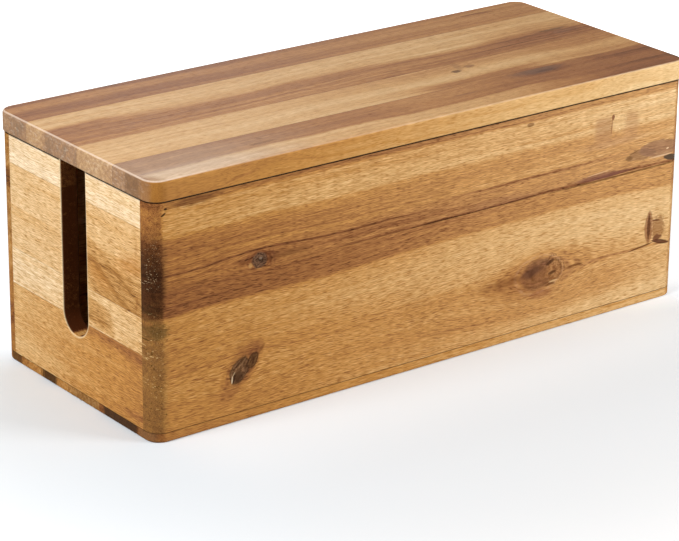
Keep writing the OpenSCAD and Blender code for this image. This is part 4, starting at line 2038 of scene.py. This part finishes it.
FRONT_LOWER = WoodFinish(
    "front_lower_wood", Grain.UPRIGHT_X, GOLDEN, seed=2.0, dark=0.335, lean=-0.0006, pith=(-4.0, -44.0),
    end_dark=0.12, right_sheen=0.12, grit=1.7, slant=0.06, streaks=0.44, fine=0.24,
    bands=(
        # Heartwood under the glue line, then paler and darker wood down to the base
        Band(64, 85, 0.26, 0.19, soft=(2.5, 2), wander=0.9, even=0.75),
        Band(40, 63, -0.04, -0.06, soft=(12, 3), start=-175, fade=50),
        Band(16, 36, -0.03, 0.13, soft=(8, 10), end=165, fade=50),
        Band(-5, 17, -0.05, -0.08, soft=(4, 7)),
        Band(33.2, 34, 0.22, soft=(0.7, 1), wander=0.6, start=100, fade=10),
    ),
    knots=(
        # A wide knot in two parts, and a tilted one with a small knot at its tip
        Knot(72.6, 34.4, 8.6, stretch=1.62, heart="62402C", ring="8E6046", flow=1.5, reach=2.8, rings=3,
             shadow=0.16, rim="CA9C72", rim_share=0.75, turn=3, share=0.84, bark=0.2),
        Knot(83.4, 34.2, 6.5, stretch=0.95, heart="7E4E2C", ring="C08E5A", flow=0, rings=4.5,
             shadow=0, rim="6A401F", rim_share=0.75, share=0.88, bark=0.4, lobes=0.7),
        Knot(-122, 27.4, 5.3, stretch=1.5, turn=52, heart="4A2F1A", ring="8A6444", flow=1.3, reach=1.9,
             rings=2.6, shadow=0.20, rim="84562C", rim_share=0.4, bark=0.9, lobes=0.45, share=0.93),
        Knot(-114, 31, 2.9, stretch=1.7, turn=58, heart="38210F", ring="6E4A2A", flow=0, rings=2.4,
             shadow=0.16, rim="8A5C30", rim_share=0.3, bark=0.6, lobes=0.4, share=0.9),
    ),
    marks=(
        # End grain at both corners
        Mark(-171, 85, 5.8, 19.5, "261206", share=0.72, power=3.2, ragged=0.3, grain=4),
        Mark(172.5, 42, 3.4, 40, "4A3420", share=0.5, power=4, soft=0.7, ragged=0.1),
        Mark(-168.5, 58.5, 4.8, 4, "57401E", share=0.7, soft=0.8, ragged=0.8, grain=1.2),
        Mark(-170.5, 30, 5.4, 34, "6E5630", share=0.4, soft=0.7, ragged=0.4, power=3),
        Mark(-169, 34, 5, 34, "46330F", share=0.9, soft=0.9, grain=1.7, power=3, specks=True),
        Mark(-170, 40, 4, 24, "DCB87C", share=0.75, soft=0.9, grain=1, power=3, specks=True),
        # Round the wide knot
        Mark(50, 34.2, 16, 2.4, "744526", soft=1.4, power=1.6),
        Mark(60, 32.4, 26, 9, "A06630", share=0.36, soft=1.2, ragged=0.6, power=1.5, grain=5),
        Mark(67.6, 36.2, 6.6, 2.6, "553426", share=0.7, turn=12, soft=0.9),
        Mark(80.2, 39.4, 2.9, 1, "4A2A16", turn=22, soft=0.7, ragged=0.6, grain=1.1, share=0.8),
        Mark(81.8, 33.2, 2.9, 0.8, "4A2A16", share=0.75, turn=8, soft=0.7, ragged=0.6, grain=1.1),
        Mark(83, 28.2, 3, 0.5, "E6BE88", share=0.65, turn=4, soft=0.6, ragged=0.4, grain=1.1),
        Mark(80.8, 26.9, 3.2, 0.7, "5A3416", turn=5, soft=0.7, ragged=0.6, grain=1.1),
        Mark(74.5, 22.6, 7, 2.5, "985F3C", soft=1, ragged=0.6),
        Mark(98, 33.7, 5.2, 0.7, "6A3C1A", share=0.85, ragged=0.4, grain=1.6),
        # On the tilted knot
        Mark(-123, 24.3, 3.2, 2.8, "462C18", share=0.75, turn=30, ragged=0.4, grain=1.4, soft=0.6),
        Mark(-120, 31.4, 2.6, 0.5, "8E6A48", share=0.5, turn=47, ragged=0.6, grain=1),
        Mark(-122.6, 31, 3, 0.5, "3A2212", turn=44, ragged=0.4, grain=1.2),
        Mark(-125.2, 23.6, 0.5, 2.7, "2C180A", share=0.7, turn=-14, ragged=0.2),
        # A pale crescent inside the knot's left edge: painted highlight
        Mark(-126.4, 23.4, 0.42, 2, "E6CCA6", turn=-6, ragged=0.15, soft=0.4, share=0.8),
        Mark(-125.3, 26.3, 0.36, 1.3, "D2B48A", share=0.5, turn=-34, ragged=0.15, soft=0.4),
        Mark(-108.8, 35.8, 3, 0.9, "7A4A24", turn=48, ragged=0.3, soft=0.9),
        # Pitch pocket and splits at the right end
        Mark(151.3, 43.8, 3.3, 9.4, "94603C", share=0.78, power=1.6, soft=0.3, ragged=0.2),
        Mark(151.2, 44, 1.3, 7.8, "5A301A", share=0.85, power=1.6, ragged=0.4, grain=1.6),
        # Painted highlight on the pitch pocket's right rim
        Mark(154, 41.5, 0.5, 5.6, "E0B482", share=0.75, turn=3, ragged=0.2),
        Mark(158, 42.4, 4.6, 6.6, "946439", share=0.75, soft=0.6, ragged=0.9, grain=0.9),
        Mark(156.5, 46.8, 2.8, 0.5, "62341A", share=0.85, turn=-10, ragged=0.4, grain=1.3),
        Mark(157.6, 36.6, 3.2, 2, "6C3E26", share=0.85, power=1.4, grain=1.4),
        Mark(160.5, 33.6, 7.4, 1.35, "552C1C", share=0.9, turn=-15, ragged=0.15, soft=0.25, power=1.3),
        Mark(145.5, 33.4, 9, 0.5, "5E3416", share=0.9, turn=6, ragged=0.15, soft=0.4),
        Mark(131, 78.7, 44, 0.6, "54300F", share=0.7, soft=0.7, power=3),
    ),
    # Painted shade in the gap above the base
    hairlines=(FRONT_BASE_SEAM_SHADE,),
)


@dataclass(frozen=True)
class Level:
    """What differs between the staves of one board. Its values mean what they do in WoodFinish."""

    tone: Tone
    dark: float
    lean: float = 0.0
    bands: tuple[Band, ...] = ()
    marks: tuple[Mark, ...] = ()
    knots: tuple[Knot, ...] = ()
    side: Side | None = None


def staves(name: str, grain: Grain, seed: float, depth: float, levels: tuple[Level, ...],
           edges: tuple[float, ...], **common: object) -> tuple[WoodFinish, ...]:
    """Makes the finishes of a board's staves.

    Args:
        name: Start of the materials' names.
        grain: How the grain lies.
        seed: Moves the patterns.
        depth: Where the middle of the board's thickness lies.
        levels: What differs between the staves.
        edges: Places of the board's edges and glue lines, across the grain.
        **common: What the staves share.

    Returns:
        One finish for each stave.
    """
    made = []
    for i, level in enumerate(levels):
        inner = tuple(e for e in edges[i : i + 2] if e not in (edges[0], edges[-1]))
        middle = (edges[i] + edges[i + 1]) / 2
        across, through = ((-1) ** i * off for off in PITH_OFF)
        made.append(WoodFinish(
            f"{name}_{i + 1}", grain, level.tone, seed + i, level.dark, level.lean, level.bands, level.marks,
            level.knots, pith=(middle + across, depth + through), glue_lines=inner, side=level.side, **common,
        ))
    return tuple(made)


PIN_KNOT = Mark(22, 76, 1.1, 0.8, "5A3820", ragged=0.4, grain=1.2, share=0.8)
LEFT_END = (
    Level(GOLDEN_END, 0.33, lean=-0.0022, bands=(
        Band(38.5, 44.2, 0.17, soft=(5, 1), end=14, fade=22),
        Band(8.5, 12.5, 0.14, soft=(2, 2), end=-30),
        Band(-5, 16, -0.05, soft=(3, 6), start=0, fade=20),
    )),
    Level(STRAW_END, 0.25, lean=-0.0016, bands=(
        Band(50, 62, 0.26, soft=(4, 4), start=-38, end=5, fade=14, slope=0.15, wander=3),
    )),
    Level(STRAW_END, 0.31, lean=-0.0010, bands=(
        Band(69, 92, 0.18, soft=(8, 10), end=0, fade=20, slope=0.25, wander=4),
        Band(86.5, 88, 0.12, soft=(1, 1.4), end=0, fade=12, wander=1),
        Band(79, 80, 0.12, soft=(1, 1.4), end=0, fade=12, wander=1),
        Band(86, 90, 0.10, soft=(2, 3), end=0, fade=20, slope=0.5, wander=2),
        Band(96, 98, 0.10, soft=(2, 3), end=0, fade=20, slope=0.45, wander=2),
        Band(83, 86, 0.06, soft=(2, 3), start=0, wander=2),
    ), marks=(
        Mark(-52, 88, 14, 5, "B87830", share=0.5, soft=1.3, ragged=0.6, turn=-15),
        Mark(-22, 74, 12, 5, "B87830", share=0.35, soft=1.3, ragged=0.6, turn=20),
        Mark(-56, 98, 1.2, 4, "B07C44", share=0.4, turn=10, ragged=0.6),
        Mark(-56, 70, 0.8, 5, "9A6432", share=0.5, turn=12),
    )),
    Level(STRAW_END, 0.12, lean=-0.0006),
)
RIGHT_END = (
    Level(GOLDEN_END, 0.46, lean=0.0012, bands=(
        Band(10, 20, 0.16, soft=(3, 5), wander=2.5, slope=0.04),
        Band(30, 31.2, 0.20, soft=(0.9, 1.2), wander=1, start=-40, fade=20),
        Band(24.5, 25.4, 0.16, soft=(0.8, 1), wander=1, end=30, fade=20),
    )),
    Level(GOLDEN_END, 0.28, bands=(
        Band(52, 60, 0.12, soft=(3, 5), wander=2, start=-30, fade=25),
        Band(46, 47, 0.14, soft=(0.9, 1.2), wander=0.8),
    )),
    Level(STRAW_END, 0.24, lean=0.0012, bands=(
        Band(70, 82, 0.20, soft=(5, 5), wander=3, start=-10, fade=20, slope=-0.08),
        Band(93, 94.2, 0.18, soft=(1, 1.4), wander=1.2),
    ), knots=(
        Knot(-36, 85, 3.8, stretch=1.2, turn=12, heart="452C1A", ring="8A6444", flow=1.5, reach=2.6,
             rings=1.5, shadow=0.18, rim="8A5C30", bark=0.6, share=0.93),
    ), marks=(Mark(-29, 86, 6, 1.4, "7A4E28", share=0.5, soft=1.2, turn=8), PIN_KNOT)),
    Level(GOLDEN_END, 0.33, lean=-0.0012, bands=(Band(112, 119, 0.12, soft=(3, 4), wander=2),)),
)
BACK = (
    Level(GOLDEN, 0.36, lean=0.0004, bands=(
        Band(20, 32, 0.18, 0.10, soft=(5, 8), wander=2.5),
        Band(26, 27, 0.20, soft=(0.8, 1.1), wander=1, end=60, fade=60),
        Band(44.5, 45.4, 0.20, soft=(0.8, 1.1), wander=1.2, start=-110, fade=60),
        Band(52, 66, -0.08, soft=(6, 2)),
    ), knots=(
        Knot(66, 38.5, 5.6, stretch=1.35, turn=-8, heart="4E341E", ring="8C6848", flow=1.4, reach=2.8,
             rings=1.7, shadow=0.22, rim="84562C", share=0.9),
        Knot(-112, 21.5, 3.4, stretch=1.2, heart="3E281A", ring="7E5A3E", flow=1.4, rings=1.4,
             shadow=0.2, rim="84562C", bark=0.6, share=0.93),
    ), marks=(
        Mark(83, 38, 13, 1.8, "744826", share=0.55, soft=1.3),
        Mark(49, 39, 12, 1.5, "744826", share=0.5, soft=1.3),
        Mark(-103, 21.6, 8, 1, "744826", share=0.5, soft=1.3),
        Mark(12, 58.5, 7, 0.5, "6A3C1A", share=0.7, ragged=0.4),
        Mark(140, 14, 9, 0.6, "6A3C1A", ragged=0.4, turn=2),
    )),
    Level(STRAW, 0.25, lean=-0.0004, bands=(
        Band(95, 106, 0.30, 0.22, soft=(3, 5), wander=2),
        Band(100, 101, 0.16, soft=(0.8, 1.1), wander=0.8),
        Band(84.5, 85.5, 0.16, soft=(0.8, 1.2), wander=1, start=-60, fade=50),
        Band(70, 77, 0.10, soft=(2, 4), wander=2, end=40, fade=80),
        Band(118, 126, 0.12, soft=(4, 3), wander=1),
    ), knots=(
        Knot(-38, 90, 3.2, stretch=1.25, turn=10, heart="4A3020", ring="8E6A4C", flow=1.5, reach=3.2,
             rings=1.4, shadow=0.18, rim="7A4424", bark=0.4, share=0.9),
    ), marks=(
        Mark(-28, 90.4, 9, 1.2, "744826", share=0.5, soft=1.3),
        Mark(118, 74, 5, 3.4, "B98A58", share=0.5, ragged=0.6),
        Mark(120, 74, 1.4, 0.8, "6A4020", ragged=0.4, share=0.8),
    )),
)
BASE = (
    Level(GOLDEN, 0.37, lean=-0.0010, bands=(
        Band(-52, -40, 0.14, soft=(5, 5), wander=3, start=-120, fade=60),
        Band(-33, -32, 0.16, soft=(0.9, 1.2), wander=1.2, start=-100, fade=60),
    ), knots=(
        Knot(92, -45, 5, stretch=1.4, heart="4A3020", ring="8A6444", flow=1.4,
             shadow=0.22, rim="84562C", share=0.9),
    ), marks=(  # end grain at the left end
        Mark(-172, -39, 30, 15, "32261C", share=0.82, ragged=0.2, soft=0.35),
        Mark(-172, -62, 30, 6, "8E6A46", share=0.5, ragged=0.3, soft=0.6),
    )),
    Level(STRAW, 0.34, bands=(
        Band(-14, -4, 0.14, soft=(4, 4), wander=2.5, start=-120, fade=60),
        Band(3, 4, 0.14, soft=(0.9, 1.2), wander=1, end=100, fade=60),
    ), marks=(Mark(-172, -8, 30, 12, "6E4E30", share=0.35, ragged=0.4),)),
    Level(GOLDEN, 0.18, bands=(
        Band(24, 34, 0.16, soft=(4, 6), wander=3, start=-120, fade=60),
        Band(40, 41, 0.16, soft=(0.9, 1.2), wander=1, start=-120, fade=60),
    ), marks=(Mark(-172, 27, 20, 7, "38200E", share=0.88, ragged=0.9),)),
    Level(GOLDEN, 0.32, marks=(Mark(-172, 59, 20, 5, "3E2814", share=0.7),)),
)
LID = (
    Level(REDDISH, 0.46, lean=0.0004, bands=(
        Band(-90, -57.5, -0.26, soft=(2, 3), even=0.9, start=-171.8, end=171.8, fade=2.4),
        Band(-90, -57.5, 0.10, 0.36, soft=(2, 3), even=0.9, start=25, fade=120),
        Band(-48, -38, 0, 0.03, soft=(6, 4)),
        Band(-56, -37, -0.10, soft=(6, 4), start=-30, end=80, fade=40),
        Band(-46, -37, 0.14, soft=(5, 3), start=75, end=118, fade=14, wander=3),
        Band(-47, -40, 0.10, soft=(4, 3), start=120),
    ), marks=(
        # Sheen on the left end, end grain, and flecks
        Mark(-160, -48, 70, 14, "AEA294", share=0.3, soft=1.5, ragged=0.3, grain=20, faces=Faces.LEVEL),
        Mark(-160, -66, 70, 9, "DACFC8", share=0.3, soft=1.2, ragged=0.3, grain=20, faces=Faces.LEVEL),
        Mark(-173, -69, 8, 9, "8A5618", share=0.55, soft=0.9, ragged=0.2),
        Mark(-174, -55, 5, 6, "5E3E22", share=0.5, soft=0.9, ragged=0.9, faces=Faces.UPRIGHT),
        Mark(92, -39.5, 15, 4.5, "6E5444", soft=1.2, ragged=0.7, grain=1.6),
        Mark(96, -42, 7, 1.4, "54392A", soft=0.8, ragged=0.6, grain=1.4),
        Mark(-95, -52, 8, 1.3, "7A5436", share=0.55, ragged=0.8, grain=1.2),
        Mark(-93, -46, 2, 0.8, "7A5436", share=0.55, grain=1.2),
        Mark(36, -49.5, 7, 1.2, "8A5E3E", share=0.5, ragged=0.7, grain=1.3),
    ), side=Side(GOLDEN, 0.27, lean=-0.0012)),
    Level(REDDISH, 0.17, bands=(
        Band(-45, -28.5, 0.26, soft=(2, 6), wander=2.5, start=5, end=115, fade=35),
        Band(-45, -34.5, 0.28, soft=(2, 4), start=60, fade=40),
        Band(-16, -5, 0, 0.16, soft=(6, 2)),
        Band(-27, -17, -0.04, -0.09, soft=(4, 4)),
        Band(-40, 0, 0.10, soft=(2, 2), start=90, fade=60, even=0.9),
    ), marks=(
        Mark(56.5, -16.5, 3, 1.8, "553419", ragged=0.7, grain=1.1, soft=0.6, share=0.8),
        Mark(62, -10, 2.2, 6, "8A5E3C", share=0.4, ragged=0.6, grain=1.6, soft=0.9, turn=-15),
        Mark(68, -13, 3.4, 2.2, "7E5232", ragged=0.7, grain=1.2),
        Mark(62, -2.5, 2, 0.9, "6A4428", grain=1.2),
    )),
    Level(REDDISH, 0.16, lean=-0.0003, bands=(
        Band(-12, 17.5, 0.24, 0.34, soft=(4, 9), slope=-0.03, wander=2.5),
        Band(-2, 12, 0.14, soft=(6, 6), start=70, fade=60, slope=0.03, wander=3),
        Band(17, 44, 0.08, soft=(2, 2), start=80, fade=60, even=0.9),
        Band(12, 19, -0.14, soft=(4, 4), start=10, end=120),
        Band(27, 40, -0.06, soft=(4, 4)),
        Band(20, 24, 0.16, soft=(4, 5), end=-118, wander=2),
    ), marks=(
        Mark(150, 13.5, 10, 1.6, "5A3A26", share=0.65, soft=0.9, ragged=0.7, grain=1.6),
        Mark(154, 8, 9, 2.6, "7A5640", share=0.45, soft=0.9, ragged=0.7, grain=2),
    )),
    Level(REDDISH, 0.40, lean=-0.0004, bands=(
        Band(46, 54, 0.08, 0.06, soft=(5, 6), wander=2.5),
        Band(65, 72, 0.14, 0.06, soft=(4, 4)),
        Band(57, 65, -0.08, 0.02, soft=(4, 4)),
    ), marks=(
        Mark(132, 61.8, 11, 0.8, "74401E", share=0.75, ragged=0.7, grain=1.4),
        Mark(140, 60.2, 5, 0.5, "74401E", ragged=0.7, grain=1.4),
        Mark(-106, 68.5, 6, 1, "4A2C1A"),
    )),
)


def build_walls(sizes: BoxSizes) -> None:
    """Builds the front, back and end boards.

    Args:
        sizes: The box's sizes.
    """
    # The level lines under the lid and above the base are painted shade in the gaps.
    front = glue_lines("front", Z, "lower")
    LongBoard(
        sizes, side=-1, name="front", seams=front,
        finishes=tuple(replace(finish, glue_lines=front) for finish in (FRONT_LOWER, FRONT_UPPER)),
        slots=(Stock.GOLDEN, Stock.BROWN),
    ).build()
    back = glue_lines("back", Z, "lower")
    LongBoard(
        sizes, side=1, name="back", seams=back,
        finishes=staves(
            "back_wood", Grain.UPRIGHT_X, seed=11.0, depth=sizes.long_middle, levels=BACK,
            edges=(sizes.base, *back, sizes.wall_top), grit=1.35, hairlines=(LID_GAP_SHADE, BACK_BASE_SEAM_SHADE),
        ),
        slots=(Stock.GOLDEN, Stock.STRAW),
    ).build()
    # The cable slots' rounded edges get a painted highlight.
    slot = CableSlot()
    # On both end boards, the heavy end darkness is partly the oiled end grain and partly painted shade in the
    # cable slots.
    joints = (-sizes.inner_y, sizes.inner_y)
    left = glue_lines("left_end", Z, "bottom", "second_front", "third_front")
    EndBoard(
        sizes, side=-1, name="left_end", seams=left,
        finishes=staves(
            "left_end_wood", Grain.UPRIGHT_Y, seed=20.0, depth=-sizes.end_middle, levels=LEFT_END,
            edges=(sizes.base, *left, sizes.wall_top), end_dark=0.75, streaks=0.38, cloud=0.12, grit=1.8,
            slant=-0.03, butt_lines=joints, hairlines=(LEFT_LID_GAP_SHADE, END_BASE_SEAM_SHADE), worn=slot,
        ),
        slots=(Stock.GOLDEN, Stock.STRAW, Stock.GOLDEN, Stock.STRAW), cable_slot=slot,
    ).build()
    right = glue_lines("right_end", Z, "bottom", "second_front", "third_front")
    EndBoard(
        sizes, side=1, name="right_end", seams=right,
        finishes=staves(
            "right_end_wood", Grain.UPRIGHT_Y, seed=30.0, depth=sizes.end_middle, levels=RIGHT_END,
            edges=(sizes.base, *right, sizes.wall_top), end_dark=0.75, grit=1.35, butt_lines=joints,
            hairlines=(LID_GAP_SHADE, END_BASE_SEAM_SHADE), worn=slot,
        ),
        slots=(Stock.BROWN, Stock.GOLDEN, Stock.STRAW, Stock.GOLDEN), cable_slot=slot,
    ).build()


def build_base(sizes: BoxSizes) -> None:
    """Builds the base, with its screws as far apart as the walls above allow.

    Args:
        sizes: The box's sizes.
    """
    row, pair = sizes.inner_x - 2 * sizes.wall, sizes.width / 4
    screws = [(x, side * sizes.long_middle) for side in (-1, 1) for x in (-row, -row / 3, row / 3, row)]
    screws += [(side * sizes.end_middle, y) for side in (-1, 1) for y in (-pair, pair)]
    seams = glue_lines("base", Y, "front", "second", "third")
    half = sizes.width / 2
    Slab(
        sizes, name="base", body=Body.BOX, bottom=0.0, top=sizes.base, overhang=0.0,
        ease_top=sizes.seam_ease, ease_under=1.2, seams=seams,
        finishes=staves(
            "base_wood", Grain.FLAT_X, seed=40.0, depth=sizes.base / 2, levels=BASE,
            edges=(-half, *seams, half), grit=1.2, hairlines=(BASE_TOP_SHADE,),
        ),
        slots=(Stock.GOLDEN, Stock.STRAW, Stock.GOLDEN, Stock.BROWN), screws=tuple(screws),
    ).build()


def build_lid(sizes: BoxSizes) -> None:
    """Builds the lid and its cleats.

    Args:
        sizes: The box's sizes.
    """
    bottom, top = (face("lid_stave_front", Z, upper) for upper in (False, True))
    half = face("lid_stave_back", Y)
    seams = glue_lines("lid", Y, "front", "second", "third")
    Slab(
        sizes, name="lid", body=Body.LID, bottom=bottom, top=top, overhang=half - sizes.width / 2,
        ease_top=1.5, ease_under=0.8, seams=seams,
        finishes=staves(
            "lid_wood", Grain.FLAT_X, seed=50.0, depth=(bottom + top) / 2, levels=LID,
            edges=(-half, *seams, half), end_from=(0.7, 0.95), end_dark=0.12, end_mottle=1.35,
            # The rim strength paints a highlight on the lid's rounded upper edges.
            end_flecks=0.28, grit=0.8, streaks=0.42, fine=0.22, sway=10.0, rim=0.6,
            # The line on the lid's underside is painted shade in the gap.
            hairlines=(LID_UNDERSIDE_SHADE,),
        ),
        slots=(Stock.RED_BROWN, Stock.STRAW, Stock.BROWN, Stock.RED_BROWN),
    ).build()
    Cleats(sizes, WoodFinish("cleat_wood", Grain.FLAT_X, STRAW, seed=60.0, dark=0.25)).build()


def main() -> None:
    """Builds the object around its frame, and the studio round it."""
    logging.basicConfig(level=logging.INFO, format="%(message)s")
    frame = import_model()
    sizes = BoxSizes.from_frame()
    build_walls(sizes)
    build_base(sizes)
    build_lid(sizes)
    dowels = WoodFinish("dowel_beech", Grain.UPRIGHT_Y, BEECH, seed=70.0, dark=0.3)
    refinish(frame["nodes"], "dowels", dowels.build())
    steel = SteelFinish("zinc_steel").build()
    for start in ("base_screws", "cleat_screws"):
        refinish(frame["nodes"], start, steel)
    Studio().build()
    bpy.context.view_layer.update()


if __name__ == "__main__":
    main()
